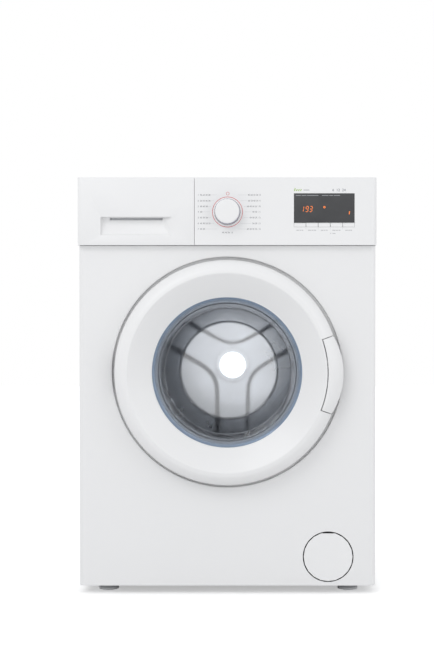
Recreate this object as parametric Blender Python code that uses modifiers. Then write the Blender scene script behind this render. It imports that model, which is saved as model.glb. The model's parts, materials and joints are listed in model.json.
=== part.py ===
"""A front-loading washing machine, modelled as its separate pieces.

Metres, +Z up. X runs to the right of someone who faces the machine, and -Y is its front.
The origin lies on the floor, under the middle of the machine's box.
"""

import math

import bmesh
import bpy
from mathutils import Matrix, Vector

# Overall size
CABINET_WIDTH = 0.595
FASCIA_WIDTH = 0.597
HEIGHT = 0.835
DEPTH = 0.557
DOOR_PROUD = 0.045
REAR_PROUD = 0.015
FASCIA_HEIGHT = 0.135
FASCIA_PROUD = 0.012
FOOT_HEIGHT = 0.017
EDGE_RADIUS = 0.010
WORKTOP_THICKNESS = 0.030

# Faces that the rest is placed from
FRONT_Y = -DEPTH / 2 + DOOR_PROUD
REAR_Y = DEPTH / 2 - REAR_PROUD
FASCIA_Y = FRONT_Y - FASCIA_PROUD
SEAM_Z = HEIGHT - FASCIA_HEIGHT

# Walls and clearances
SHEET = 0.0012
MOULDED = 0.0025
SEAT = 0.0003
RUNNING = 0.0006
SEAM = 0.0008
OVERRUN = 0.008

# Door and the recess that it lies in
DOOR_CENTRE_Z = SEAM_Z - 0.254
DOOR_RADIUS = 0.2235
RECESS_RADIUS = DOOR_RADIUS + 0.0075
RECESS_DEPTH = 0.010
RIDGE_RADIUS = DOOR_RADIUS - 0.0255
WINDOW_RADIUS = 0.150
HINGE_X = -DOOR_RADIUS + 0.0105
HINGE_PROUD = 0.014
PORT_RADIUS = 0.168
HOOK_X = DOOR_RADIUS - 0.019

# Tub, drum and drive
TUB_RADIUS = 0.2555
TUB_WALL = 0.003
TUB_SETBACK = 0.0535
TUB_DEPTH = 0.340
DRUM_RADIUS = 0.240
DRUM_SHEET = 0.0010
DRUM_SETBACK = 0.0685
DRUM_DEPTH = 0.300
DRUM_MOUTH_RADIUS = 0.152
PULLEY_RADIUS = 0.140
PULLEY_SETBACK = 0.034
BELT_WIDTH = 0.014
BELT_THICKNESS = 0.003
MOTOR_X = 0.070
MOTOR_Z = DOOR_CENTRE_Z - 0.328
MOTOR_RADIUS = 0.056
MOTOR_PULLEY_RADIUS = 0.010

# Controls
KNOB_X = 0.001
KNOB_Z = SEAM_Z + 0.0656
KNOB_RADIUS = 0.0275
KNOB_PROUD = 0.020
DISPLAY_RIGHT = FASCIA_WIDTH / 2 - 0.0448
DISPLAY_LEFT = DISPLAY_RIGHT - 0.1202
DISPLAY_BOTTOM = SEAM_Z + 0.0447
DISPLAY_TOP = DISPLAY_BOTTOM + 0.0578
KEY_COUNT = 5
KEY_HEIGHT = 0.0075
DRAWER_RIGHT = KNOB_X - 0.066

# Filter hatch
FILTER_X = CABINET_WIDTH / 2 - 0.095
FILTER_Z = FOOT_HEIGHT + 0.058
FILTER_RADIUS = 0.050

# Places worked out from the sizes above
FLOOR_Y = FRONT_Y + RECESS_DEPTH
HINGE_Y = FRONT_Y - HINGE_PROUD
TUB_Y = FRONT_Y + TUB_SETBACK
DRUM_Y = FRONT_Y + DRUM_SETBACK
DRUM_END_Y = DRUM_Y + DRUM_DEPTH
TUB_END_Y = TUB_Y + TUB_DEPTH
PULLEY_Y = TUB_END_Y + PULLEY_SETBACK
DOOR_PLACE = (0, 0, DOOR_CENTRE_Z)

# Facets
ROUND_STEPS = 36
INNER_STEPS = 24
SMALL_STEPS = 16
HATCH_STEPS = 20
TINY_STEPS = 12
CORNER_STEPS = 3
SHARP_ANGLE = math.radians(35)

# Turns that point a shape's own Z axis to the front, and to the right
FRONTWARD = (math.pi / 2, 0, 0)
SIDEWARD = (math.pi / 2, 0, math.pi / 2)
UPRIGHT = (0, 0, 0)

PARTS = "washing_machine"
CUTTERS = "cutters"


# Building tools


def clear_scene():
    for obj in list(bpy.data.objects):
        bpy.data.objects.remove(obj, do_unlink=True)
    for name in (PARTS, CUTTERS):
        bpy.context.scene.collection.children.link(bpy.data.collections.new(name))


def make_finish(name, color, roughness, metallic=0.0, alpha=1.0):
    finish = bpy.data.materials.new(name)
    finish.use_nodes = True
    shader = finish.node_tree.nodes["Principled BSDF"]
    shader.inputs["Base Color"].default_value = (*color, 1.0)
    shader.inputs["Roughness"].default_value = roughness
    shader.inputs["Metallic"].default_value = metallic
    shader.inputs["Alpha"].default_value = alpha
    return finish


def finish_of(name):
    return bpy.data.materials[name]


def add_piece(name, data, finish=None, place=(0, 0, 0), turn=UPRIGHT):
    piece = bpy.data.objects.new(name, data)
    bpy.data.collections[PARTS].objects.link(piece)
    piece.location = place
    piece.rotation_euler = turn
    if finish:
        data.materials.clear()
        data.materials.append(finish_of(finish))
    return piece


def mesh_of(name, form):
    mesh = bpy.data.meshes.new(name)
    form.to_mesh(mesh)
    form.free()
    mesh.shade_smooth()
    mesh.set_sharp_from_angle(angle=SHARP_ANGLE)
    return mesh


def box(name, low, high, finish=None, edge=0):
    form = bmesh.new()
    bmesh.ops.create_cube(form, size=1)
    size = [above - below for below, above in zip(low, high)]
    middle = [(above + below) / 2 for below, above in zip(low, high)]
    bmesh.ops.scale(form, vec=size, verts=form.verts)
    piece = add_piece(name, mesh_of(name, form), finish, middle)
    if edge:
        round_edges(piece, edge)
    return piece


def rod(name, start, end, radius, finish=None, end_radius=None, steps=SMALL_STEPS):
    """A cylinder, or a cone where end_radius is given, from start to end."""
    start, end = Vector(start), Vector(end)
    way = end - start
    form = bmesh.new()
    bmesh.ops.create_cone(
        form, cap_ends=True, segments=steps, depth=way.length,
        radius1=radius, radius2=radius if end_radius is None else end_radius,
    )
    turn = way.to_track_quat("Z", "Y").to_euler()
    return add_piece(name, mesh_of(name, form), finish, (start + end) / 2, turn)


def front_rod(name, x, z, front, back, radius, finish=None, end_radius=None, steps=SMALL_STEPS):
    """A cylinder along Y, from its front end to its back end."""
    return rod(name, (x, front, z), (x, back, z), radius, finish, end_radius, steps)


def rounded(corners, steps=CORNER_STEPS, closed=True):
    """The outline through corners of (x, y, radius), each rounded by its own radius."""
    points = []
    last = len(corners) - 1
    for index, (x, y, radius) in enumerate(corners):
        here = Vector((x, y))
        if not radius or (not closed and index in (0, last)):
            points.append((x, y))
            continue
        before = (Vector(corners[index - 1][:2]) - here).normalized()
        after = (Vector(corners[(index + 1) % len(corners)][:2]) - here).normalized()
        half = before.angle(after) / 2
        centre = here + (before + after).normalized() * radius / math.sin(half)
        first = here + before * radius / math.tan(half) - centre
        final = here + after * radius / math.tan(half) - centre
        sweep = math.atan2(first.cross(final), first.dot(final))
        for step in range(steps + 1):
            angle = sweep * step / steps
            turned_x = first.x * math.cos(angle) - first.y * math.sin(angle)
            turned_y = first.x * math.sin(angle) + first.y * math.cos(angle)
            points.append((centre.x + turned_x, centre.y + turned_y))
    return points


def rectangle(left, low, right, high, radius=0):
    return rounded([(left, low, radius), (right, low, radius), (right, high, radius), (left, high, radius)])


def circle(x, y, radius, steps=SMALL_STEPS):
    angles = [math.tau * step / steps for step in range(steps)]
    return [(x + radius * math.cos(angle), y + radius * math.sin(angle)) for angle in angles]


def slab(name, outline, start, end, finish=None, turn=UPRIGHT, holes=()):
    """A flat outline with a thickness from start to end along the machine's axis that turn gives.

    UPRIGHT takes an outline in x and y and z limits, FRONTWARD one in x and z and y limits,
    and SIDEWARD one in y and z and x limits.
    """
    curve = bpy.data.curves.new(name, "CURVE")
    curve.dimensions = "2D"
    curve.fill_mode = "BOTH"
    curve.extrude = (end - start) / 2
    for loop in (outline, *holes):
        spline = curve.splines.new("POLY")
        spline.points.add(len(loop) - 1)
        for point, (x, y) in zip(spline.points, loop):
            point.co = (x, y, 0, 1)
        spline.use_cyclic_u = True
    middle = (start + end) / 2
    place = {UPRIGHT: (0, 0, middle), FRONTWARD: (0, middle, 0), SIDEWARD: (middle, 0, 0)}[turn]
    piece = add_piece(name, mesh_from_curve(name, curve), finish, place, turn)
    return piece


def mesh_from_curve(name, curve):
    """A curve's surface as one closed mesh."""
    guide = bpy.data.objects.new(name, curve)
    mesh = bpy.data.meshes.new_from_object(guide)
    bpy.data.objects.remove(guide)
    form = bmesh.new()
    form.from_mesh(mesh)
    bpy.data.meshes.remove(mesh)
    bmesh.ops.remove_doubles(form, verts=form.verts, dist=SEAT / 10)
    bmesh.ops.recalc_face_normals(form, faces=form.faces)
    return mesh_of(name, form)


def tube(name, points, radius, finish=None, resolution=2):
    """A round bar along points."""
    curve = bpy.data.curves.new(name, "CURVE")
    curve.dimensions = "3D"
    curve.bevel_depth = radius
    curve.bevel_resolution = resolution
    curve.use_fill_caps = True
    spline = curve.splines.new("POLY")
    spline.points.add(len(points) - 1)
    for point, place in zip(spline.points, points):
        point.co = (*place, 1)
    return add_piece(name, mesh_from_curve(name, curve), finish)


def smooth_way(corners, steps):
    """Points along a smooth curve through corners."""
    corners = [Vector(corner) for corner in corners]
    padded = [2 * corners[0] - corners[1], *corners, 2 * corners[-1] - corners[-2]]
    points = []
    for before, here, after, beyond in zip(padded, padded[1:], padded[2:], padded[3:]):
        for step in range(steps):
            t = step / steps
            points.append(
                (2 * here + (after - before) * t
                 + (2 * before - 5 * here + 4 * after - beyond) * t * t
                 + (3 * here - before - 3 * after + beyond) * t ** 3) / 2
            )
    return [*points, corners[-1]]


def profile_mesh(name, profile, closed=False):
    """Edges through (radius, distance back). The shape's outer face lies on the left of their way."""
    mesh = bpy.data.meshes.new(name)
    edges = [(index, index + 1) for index in range(len(profile) - 1)]
    if closed:
        edges.append((len(profile) - 1, 0))
    mesh.from_pydata([(radius, 0, -back) for radius, back in profile], edges, [])
    return mesh


def facing_out(profile):
    """The same loop, run so that its outer side goes from front to back."""
    after = profile[1:] + profile[:1]
    doubled_area = sum(here[0] * there[1] - there[0] * here[1] for here, there in zip(profile, after))
    return profile if doubled_area > 0 else profile[::-1]


def spin(piece, steps):
    screw = piece.modifiers.new("Turn", "SCREW")
    screw.steps = screw.render_steps = steps
    screw.use_merge_vertices = True
    screw.merge_threshold = SEAT / 10
    screw.use_smooth_shade = True


def turned(name, profile, finish=None, place=(0, 0, 0), steps=ROUND_STEPS, turn=FRONTWARD):
    """A solid of revolution. Its profile is a closed loop, or it starts and ends on the axis."""
    closed = bool(profile[0][0] or profile[-1][0])
    piece = add_piece(name, profile_mesh(name, facing_out(profile), closed), finish, place, turn)
    spin(piece, steps)
    return piece


def turned_shell(name, profile, wall, finish=None, place=(0, 0, 0), steps=ROUND_STEPS, turn=FRONTWARD):
    """A turned sheet. Its wall is laid behind the face on the left of the profile's way."""
    piece = add_piece(name, profile_mesh(name, profile), finish, place, turn)
    spin(piece, steps)
    thicken(piece, wall)
    return piece


def thicken(piece, wall):
    solidify = piece.modifiers.new("Wall", "SOLIDIFY")
    solidify.thickness = wall
    solidify.offset = -1
    solidify.use_even_offset = True


def round_edges(piece, width, segments=2):
    bevel = piece.modifiers.new("Edges", "BEVEL")
    bevel.width = width
    bevel.segments = segments
    bevel.limit_method = "ANGLE"
    bevel.angle_limit = SHARP_ANGLE


def as_tool(piece):
    """Takes a piece out of the machine, to serve as a Boolean's other shape."""
    bpy.data.collections[PARTS].objects.unlink(piece)
    bpy.data.collections[CUTTERS].objects.link(piece)
    piece.hide_render = True
    piece.display_type = "WIRE"
    return piece


def combine(piece, operation, tools):
    for tool in tools:
        boolean = piece.modifiers.new(operation.title(), "BOOLEAN")
        boolean.operation = operation
        boolean.object = as_tool(tool)
    return piece


def cut(piece, *tools):
    return combine(piece, "DIFFERENCE", tools)


def join(piece, *tools):
    return combine(piece, "UNION", tools)


def pivot(name, place, carrier=None):
    """An empty on a joint's axis. What it carries keeps its place in the machine."""
    empty = bpy.data.objects.new(name, None)
    bpy.data.collections[PARTS].objects.link(empty)
    empty.location = place
    if carrier:
        carry(carrier, empty)
    return empty


def carry(pivot_empty, *pieces):
    for piece in pieces:
        piece.parent = pivot_empty
        piece.matrix_parent_inverse = Matrix.Translation(-pivot_empty.location)


# Cabinet

PANEL_FLANGE = 0.030
PANEL_FOLD = 0.016
PANEL_LIP = 0.018
WRAP_CORNER = 0.012
EMBOSS_MARGIN = 0.060
EMBOSS_SLOPE = 0.008
EMBOSS_DEPTH = 0.003
REAR_OPENING = (-0.215, FOOT_HEIGHT + 0.088, 0.215, SEAM_Z - 0.035)
REAR_OPENING_CORNER = 0.060
SPRING_X = CABINET_WIDTH / 2 - 0.0355
SPRING_Y = TUB_Y + 0.235
SPRING_TOP_Z = HEIGHT - 0.063
SPRING_LUG_HALF = 0.014
SPRING_LUG_REACH = 0.010
SPRING_LUG_THICKNESS = 0.003
SPRING_HOLE_RADIUS = 0.0040
VALVE_X = CABINET_WIDTH / 2 - 0.1075
VALVE_Z = HEIGHT - 0.073
VALVE_RADIUS = 0.0125
GLAND_X = -VALVE_X
GLAND_Z = HEIGHT - 0.100
GLAND_RADIUS = 0.009
DRAIN_EXIT_X = CABINET_WIDTH / 2 - 0.0425
DRAIN_EXIT_Z = FOOT_HEIGHT + 0.068
DRAIN_EXIT_RADIUS = 0.014
WRAP_Y = FRONT_Y + PANEL_FLANGE + SEAM
WRAP_TOP_Z = HEIGHT - WORKTOP_THICKNESS - SEAT
WRAP_INSIDE_X = CABINET_WIDTH / 2 - SHEET


def sheet_along(name, path, low, high, wall, finish):
    """An upright sheet on a path in x and y. Its wall is laid behind the face on the path's right."""
    form = bmesh.new()
    feet = [form.verts.new((x, y, low)) for x, y in path]
    heads = [form.verts.new((x, y, high)) for x, y in path]
    for here in range(len(path) - 1):
        form.faces.new((feet[here], feet[here + 1], heads[here + 1], heads[here]))
    piece = add_piece(name, mesh_of(name, form), finish)
    thicken(piece, wall)
    return piece


def press_sides(mesh):
    """Sinks a shallow panel into each side wall, as pressed steel sides have."""
    form = bmesh.new()
    form.from_mesh(mesh)
    sides = [face for face in form.faces if abs(face.normal.x) > abs(face.normal.y) and face.calc_area() > DEPTH ** 2 / 2]
    bmesh.ops.inset_individual(form, faces=sides, thickness=EMBOSS_MARGIN)
    bmesh.ops.inset_individual(form, faces=sides, thickness=EMBOSS_SLOPE, depth=-EMBOSS_DEPTH)
    form.to_mesh(mesh)
    form.free()


def cabinet_wrap():
    half = CABINET_WIDTH / 2
    path = rounded([
        (half - PANEL_FOLD, WRAP_Y, 0),
        (half, WRAP_Y, 0),
        (half, REAR_Y, WRAP_CORNER),
        (-half, REAR_Y, WRAP_CORNER),
        (-half, WRAP_Y, 0),
        (-half + PANEL_FOLD, WRAP_Y, 0),
    ], closed=False)
    wrap = sheet_along("cabinet_wrap", path, FOOT_HEIGHT, WRAP_TOP_Z, SHEET, "white_enamel")
    press_sides(wrap.data)
    for side in (-1, 1):
        join(wrap, spring_bracket(side))
    rear = (REAR_Y - WRAP_CORNER, REAR_Y + OVERRUN)
    cut(
        wrap,
        slab("rear_opening", rectangle(*REAR_OPENING, REAR_OPENING_CORNER), *rear, turn=FRONTWARD),
        front_rod("valve_hole", VALVE_X, VALVE_Z, *rear, VALVE_RADIUS + RUNNING),
        front_rod("gland_hole", GLAND_X, GLAND_Z, *rear, GLAND_RADIUS + SEAT),
        front_rod("drain_hole", DRAIN_EXIT_X, DRAIN_EXIT_Z, *rear, DRAIN_EXIT_RADIUS),
    )
    return wrap


def spring_bracket(side):
    """The shelf on a side wall that a suspension spring hangs from."""
    wall, end = side * (WRAP_INSIDE_X + SHEET / 2), side * (SPRING_X - SPRING_LUG_REACH)
    shelf = box(
        "spring_shelf",
        (min(wall, end), SPRING_Y - SPRING_LUG_HALF, SPRING_TOP_Z - SPRING_LUG_THICKNESS),
        (max(wall, end), SPRING_Y + SPRING_LUG_HALF, SPRING_TOP_Z),
    )
    gusset = slab(
        "spring_gusset",
        [
            (wall, SPRING_TOP_Z - SPRING_LUG_THICKNESS / 2),
            (side * (SPRING_X + SPRING_LUG_REACH), SPRING_TOP_Z - SPRING_LUG_THICKNESS / 2),
            (wall, SPRING_TOP_Z - SPRING_LUG_HALF - SPRING_LUG_REACH),
        ],
        SPRING_Y + SPRING_LUG_HALF / 2, SPRING_Y + SPRING_LUG_HALF / 2 + SPRING_LUG_THICKNESS,
        turn=FRONTWARD,
    )
    hole = rod(
        "spring_hole",
        (side * SPRING_X, SPRING_Y, SPRING_TOP_Z - OVERRUN), (
            side * SPRING_X, SPRING_Y, SPRING_TOP_Z + OVERRUN,
        ),
        SPRING_HOLE_RADIUS, steps=8,
    )
    return cut(join(shelf, gusset), hole)


COVER_OVERLAP = 0.014
COVER_FLANGE = 0.012
COVER_SLOPE = 0.010
COVER_CENTRE_MARGIN = 0.030
COVER_CENTRE_DEPTH = 0.004
VENT_COUNT = 5
VENT_PITCH = 0.018
VENT_LENGTH = 0.110
VENT_HEIGHT = 0.006
VENT_LOW_Z = DOOR_CENTRE_Z + 0.014


def rear_cover():
    left, low, right, high = REAR_OPENING
    outline = rectangle(
        left - COVER_OVERLAP, low - COVER_OVERLAP, right + COVER_OVERLAP, high + COVER_OVERLAP,
        REAR_OPENING_CORNER + COVER_OVERLAP,
    )
    form = bmesh.new()
    flat_y = REAR_Y + SEAT + SHEET
    face = form.faces.new([form.verts.new((x, flat_y, z)) for x, z in reversed(outline)])
    form.normal_update()
    raised = REAR_PROUD - SEAT - SHEET
    for inset, depth in (
        (COVER_FLANGE, 0), (COVER_SLOPE, raised), (COVER_CENTRE_MARGIN, 0), (
            COVER_SLOPE, -COVER_CENTRE_DEPTH,
        ),
    ):
        bmesh.ops.inset_individual(form, faces=[face], thickness=inset, depth=depth, use_even_offset=True)
    cover = add_piece("rear_cover", mesh_of("rear_cover", form), "zinc_steel")
    thicken(cover, SHEET)
    for number in range(VENT_COUNT):
        z = VENT_LOW_Z + number * VENT_PITCH
        cut(cover, box(
            "vent", (-VENT_LENGTH / 2, REAR_Y, z + (VENT_PITCH - VENT_HEIGHT) / 2),
            (VENT_LENGTH / 2, REAR_Y + REAR_PROUD + OVERRUN, z + (VENT_PITCH + VENT_HEIGHT) / 2),
        ))
    return cover


PORT_LIP = 0.008
HOOK_SLOT = (HOOK_X - 0.0110, -0.0105, HOOK_X + 0.0110, 0.0105)
NOSE_SHARE = 0.999
HINGE_ARM_HALF = 0.0045
HINGE_LUG_LOW = 0.030
HINGE_LUG_HIGH = 0.038
COVER_GAP = 0.0018


def front_panel():
    half = CABINET_WIDTH / 2
    back = FRONT_Y + PANEL_FLANGE
    path = rounded([
        (-half + PANEL_FOLD, back, 0),
        (-half, back, 0),
        (-half, FRONT_Y, EDGE_RADIUS),
        (half, FRONT_Y, EDGE_RADIUS),
        (half, back, 0),
        (half - PANEL_FOLD, back, 0),
    ], closed=False)
    top = SEAM_Z - SEAM
    panel = sheet_along("front_panel", path, FOOT_HEIGHT, top, SHEET, "white_enamel")
    for low in (FOOT_HEIGHT + SHEET / 4, top - SHEET * 5 / 4):
        join(panel, box(
            "panel_lip", (-half + EDGE_RADIUS, FRONT_Y + SHEET / 4, low),
            (half - EDGE_RADIUS, FRONT_Y + PANEL_LIP, low + SHEET),
        ))
    through = (FRONT_Y - OVERRUN, FRONT_Y + OVERRUN)
    cut(
        panel,
        slab(
            "recess_hole", circle(0, DOOR_CENTRE_Z, RECESS_RADIUS + SHEET / 2, ROUND_STEPS),
            *through, turn=FRONTWARD,
        ),
        slab(
            "hatch_hole", circle(FILTER_X, FILTER_Z, FILTER_RADIUS + COVER_GAP / 2, HATCH_STEPS),
            *through, turn=FRONTWARD,
        ),
    )
    return join(panel, door_recess())


def door_recess():
    """The round dish that the door closes into, with its slots for the hinge and the hook."""
    rim_y = FRONT_Y + SHEET / 4
    dish = turned("door_recess", [
        (RECESS_RADIUS, rim_y),
        (RECESS_RADIUS + SHEET, rim_y),
        (RECESS_RADIUS + SHEET, FLOOR_Y + SHEET),
        (PORT_RADIUS + SHEET, FLOOR_Y + SHEET),
        (PORT_RADIUS + SHEET, FLOOR_Y + PORT_LIP),
        (PORT_RADIUS, FLOOR_Y + PORT_LIP),
        (PORT_RADIUS, FLOOR_Y),
        (RECESS_RADIUS, FLOOR_Y),
    ], place=DOOR_PLACE)
    through = (FLOOR_Y - SHEET, FLOOR_Y + 2 * SHEET)
    left, low, right, high = HOOK_SLOT
    cut(
        dish,
        box(
            "hook_slot", (left, through[0], DOOR_CENTRE_Z + low), (right, through[1], DOOR_CENTRE_Z + high),
        ),
    )
    for low, high in hinge_lug_heights(RUNNING):
        cut(dish, box(
            "hinge_slot", (HINGE_X - HINGE_ARM_HALF - RUNNING, through[0], low),
            (HINGE_X + HINGE_ARM_HALF + RUNNING, through[1], high),
        ))
    return dish


def hinge_lug_heights(room=0):
    """The lowest and highest z of each of the hinge's two fixed lugs."""
    return [
        (DOOR_CENTRE_Z + HINGE_LUG_LOW - room, DOOR_CENTRE_Z + HINGE_LUG_HIGH + room),
        (DOOR_CENTRE_Z - HINGE_LUG_HIGH - room, DOOR_CENTRE_Z - HINGE_LUG_LOW + room),
    ]


# Worktop, fascia and controls

WORKTOP_EDGE = 0.003
WORKTOP_OVERHANG = 0.005
FASCIA_BACK_Y = FRONT_Y + 0.011
FASCIA_FLANGE_Y = FRONT_Y + PANEL_FLANGE
DRAWER_BACK_Y = FRONT_Y + 0.0045
TRAY_LEFT = -FASCIA_WIDTH / 2 + 0.0465
TRAY_RIGHT = DRAWER_RIGHT - 0.017
TRAY_LOW_Z = SEAM_Z + 0.022
TRAY_HEIGHT = 0.054
TRAY_LENGTH = 0.235
TRAY_WALL = 0.002
KNOB_HOLE_RADIUS = 0.0065
KNOB_STEM_RADIUS = 0.0045
BOARD_Y = FASCIA_Y + 0.0103
BOARD_THICKNESS = 0.0016
BOARD_LEFT = DRAWER_RIGHT + 0.020
BOARD_RIGHT = FASCIA_WIDTH / 2 - 0.0235
BOARD_LOW_Z = SEAM_Z + 0.016
BOARD_HIGH_Z = HEIGHT - 0.016
POST_RADIUS = 0.004
POST_INSET = 0.008
WINDOW_THICKNESS = 0.002
WINDOW_SINK = 0.0002
KEY_DEPTH = 0.0038
KEY_STEM_RADIUS = 0.002
KEY_TRAVEL = 0.0008
KEY_SINK = -0.0004
KEY_GAP = 0.0012
SWITCH_SIZE = 0.006
SWITCH_DEPTH = 0.0016
ENCODER_SIZE = 0.020
ENCODER_DEPTH = 0.0036
FASCIA_LEFT = DRAWER_RIGHT + SEAM / 2


def worktop():
    half = FASCIA_WIDTH / 2
    low = (-half, FASCIA_BACK_Y + SEAT, HEIGHT - WORKTOP_THICKNESS)
    return box(
        "worktop", low, (half, REAR_Y + WORKTOP_OVERHANG, HEIGHT), "white_laminate", edge=WORKTOP_EDGE,
    )


def key_spans():
    """The left and right x of each key, in line with the display."""
    pitch = (DISPLAY_RIGHT - DISPLAY_LEFT + KEY_GAP) / KEY_COUNT
    return [(DISPLAY_LEFT + number * pitch, DISPLAY_LEFT + (number + 1) * pitch - KEY_GAP) for number in range(
        KEY_COUNT,
    )]


def key_heights():
    high = DISPLAY_BOTTOM - KEY_GAP
    return high - KEY_HEIGHT, high


def control_fascia():
    half, top = FASCIA_WIDTH / 2, HEIGHT - SEAT
    plate_y = DRAWER_BACK_Y + SEAT
    outline = rounded([
        (-half, plate_y, 0),
        (FASCIA_LEFT, plate_y, 0),
        (FASCIA_LEFT, FASCIA_Y, 0),
        (half, FASCIA_Y, EDGE_RADIUS),
        (half, FASCIA_FLANGE_Y, 0),
        (-half, FASCIA_FLANGE_Y, 0),
    ])
    hollow = rounded([
        (-half + MOULDED, plate_y + MOULDED, 0),
        (FASCIA_LEFT + MOULDED, plate_y + MOULDED, 0),
        (FASCIA_LEFT + MOULDED, FASCIA_Y + MOULDED, 0),
        (half - MOULDED, FASCIA_Y + MOULDED, EDGE_RADIUS - MOULDED),
        (half - MOULDED, FASCIA_FLANGE_Y + OVERRUN, 0),
        (-half + MOULDED, FASCIA_FLANGE_Y + OVERRUN, 0),
    ])
    fascia = slab("control_fascia", outline, SEAM_Z, top, "white_plastic")
    key_low, key_high = key_heights()
    through = (FASCIA_Y - OVERRUN, FASCIA_Y + MOULDED + SEAM)
    cut(
        fascia,
        slab("fascia_hollow", hollow, SEAM_Z + MOULDED, top - MOULDED),
        box(
            "worktop_seat", (-half - OVERRUN, FASCIA_BACK_Y, WRAP_TOP_Z),
            (half + OVERRUN, FASCIA_FLANGE_Y + OVERRUN, HEIGHT),
        ),
        box(
            "drawer_mouth", (TRAY_LEFT - RUNNING, FASCIA_Y, TRAY_LOW_Z - RUNNING),
            (TRAY_RIGHT + RUNNING, FASCIA_BACK_Y, TRAY_LOW_Z + TRAY_HEIGHT + RUNNING),
        ),
        front_rod("knob_hole", KNOB_X, KNOB_Z, *through, KNOB_HOLE_RADIUS),
        box(
            "window_mouth", (DISPLAY_LEFT - SEAT, through[0], DISPLAY_BOTTOM - SEAT),
            (DISPLAY_RIGHT + SEAT, through[1], DISPLAY_TOP + SEAT),
        ),
    )
    for left, right in key_spans():
        cut(
            fascia,
            box(
                "key_mouth", (left - SEAT, through[0], key_low - SEAT),
                (right + SEAT, through[1], key_high + SEAT),
            ),
        )
    for x in (BOARD_LEFT + POST_INSET, BOARD_RIGHT - POST_INSET):
        for z in (BOARD_LOW_Z + POST_INSET, BOARD_HIGH_Z - POST_INSET):
            join(
                fascia,
                front_rod("board_post", x, z, FASCIA_Y + MOULDED / 2, BOARD_Y - SEAT, POST_RADIUS, steps=8),
            )
    return fascia


def display_window():
    front = FASCIA_Y + WINDOW_SINK
    return box(
        "display_window", (DISPLAY_LEFT, front, DISPLAY_BOTTOM),
        (DISPLAY_RIGHT, front + WINDOW_THICKNESS, DISPLAY_TOP), "smoked_glass",
    )


def keys():
    low, high = key_heights()
    made = []
    for number, (left, right) in enumerate(key_spans(), 1):
        front = FASCIA_Y + KEY_SINK
        key = box(f"key_{number}", (left, front, low), (right, front + KEY_DEPTH, high), "grey_plastic")
        stem_end = BOARD_Y - SWITCH_DEPTH - KEY_TRAVEL - SEAT
        join(
            key,
            front_rod(
                "key_stem", (left + right) / 2, (low + high) / 2, front + KEY_DEPTH / 2, stem_end,
                KEY_STEM_RADIUS, steps=8,
            ),
        )
        made.append(key)
    return made


def control_board():
    board = box(
        "control_board", (BOARD_LEFT, BOARD_Y, BOARD_LOW_Z),
        (BOARD_RIGHT, BOARD_Y + BOARD_THICKNESS, BOARD_HIGH_Z), "circuit_green",
    )
    low, high = key_heights()
    seat = BOARD_Y + BOARD_THICKNESS / 2
    for left, right in key_spans():
        x, z = (left + right) / 2, (low + high) / 2
        join(board, box(
            "switch", (x - SWITCH_SIZE / 2, BOARD_Y - SWITCH_DEPTH, z - SWITCH_SIZE / 2), (
                x + SWITCH_SIZE / 2, seat, z + SWITCH_SIZE / 2,
            ),
        ))
    join(
        board,
        box(
            "encoder", (KNOB_X - ENCODER_SIZE / 2, BOARD_Y - ENCODER_DEPTH, KNOB_Z - ENCODER_SIZE / 2),
            (KNOB_X + ENCODER_SIZE / 2, seat, KNOB_Z + ENCODER_SIZE / 2),
        ),
        box(
            "display_module",
            (
                DISPLAY_LEFT, FASCIA_Y + WINDOW_SINK + WINDOW_THICKNESS + SEAT,
                DISPLAY_BOTTOM + SWITCH_SIZE / 2,
            ),
            (DISPLAY_RIGHT, seat, DISPLAY_TOP),
        ),
    )
    return board


KNOB_FACE_RADIUS = 0.0235
KNOB_DOME = 0.0012
KNOB_SKIRT = 0.004
KNOB_EDGE = 0.0015


def programme_knob():
    back = FASCIA_Y - SEAT
    front = FASCIA_Y - KNOB_PROUD
    knob = turned("programme_knob", [
        (0, front),
        (KNOB_FACE_RADIUS - KNOB_EDGE, front + KNOB_DOME / 2),
        (KNOB_FACE_RADIUS, front + KNOB_EDGE),
        (KNOB_FACE_RADIUS + KNOB_EDGE, back - KNOB_SKIRT),
        (KNOB_RADIUS, back - KNOB_SKIRT + KNOB_EDGE),
        (KNOB_RADIUS, back),
        (KNOB_STEM_RADIUS, back),
        (KNOB_STEM_RADIUS, BOARD_Y - ENCODER_DEPTH - SEAT),
        (0, BOARD_Y - ENCODER_DEPTH - SEAT),
    ], "white_plastic", (KNOB_X, 0, KNOB_Z), steps=2 * TINY_STEPS)
    return knob


# Detergent drawer

GRIP = (TRAY_LEFT, SEAM_Z + 0.019, DRAWER_RIGHT - 0.039, SEAM_Z + 0.056)
GRIP_DEPTH = 0.0125
GRIP_SLOT = (TRAY_LEFT + 0.017, DRAWER_RIGHT - 0.063)
GRIP_SLOT_HEIGHT = 0.010
GRIP_SLOT_WALL = 0.0035
DIVIDER_SHARES = (0.30, 0.62)
TRAY_CORNER = 0.006
SIPHON_RADIUS = 0.012
SIPHON_HEIGHT = 0.034


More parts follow.
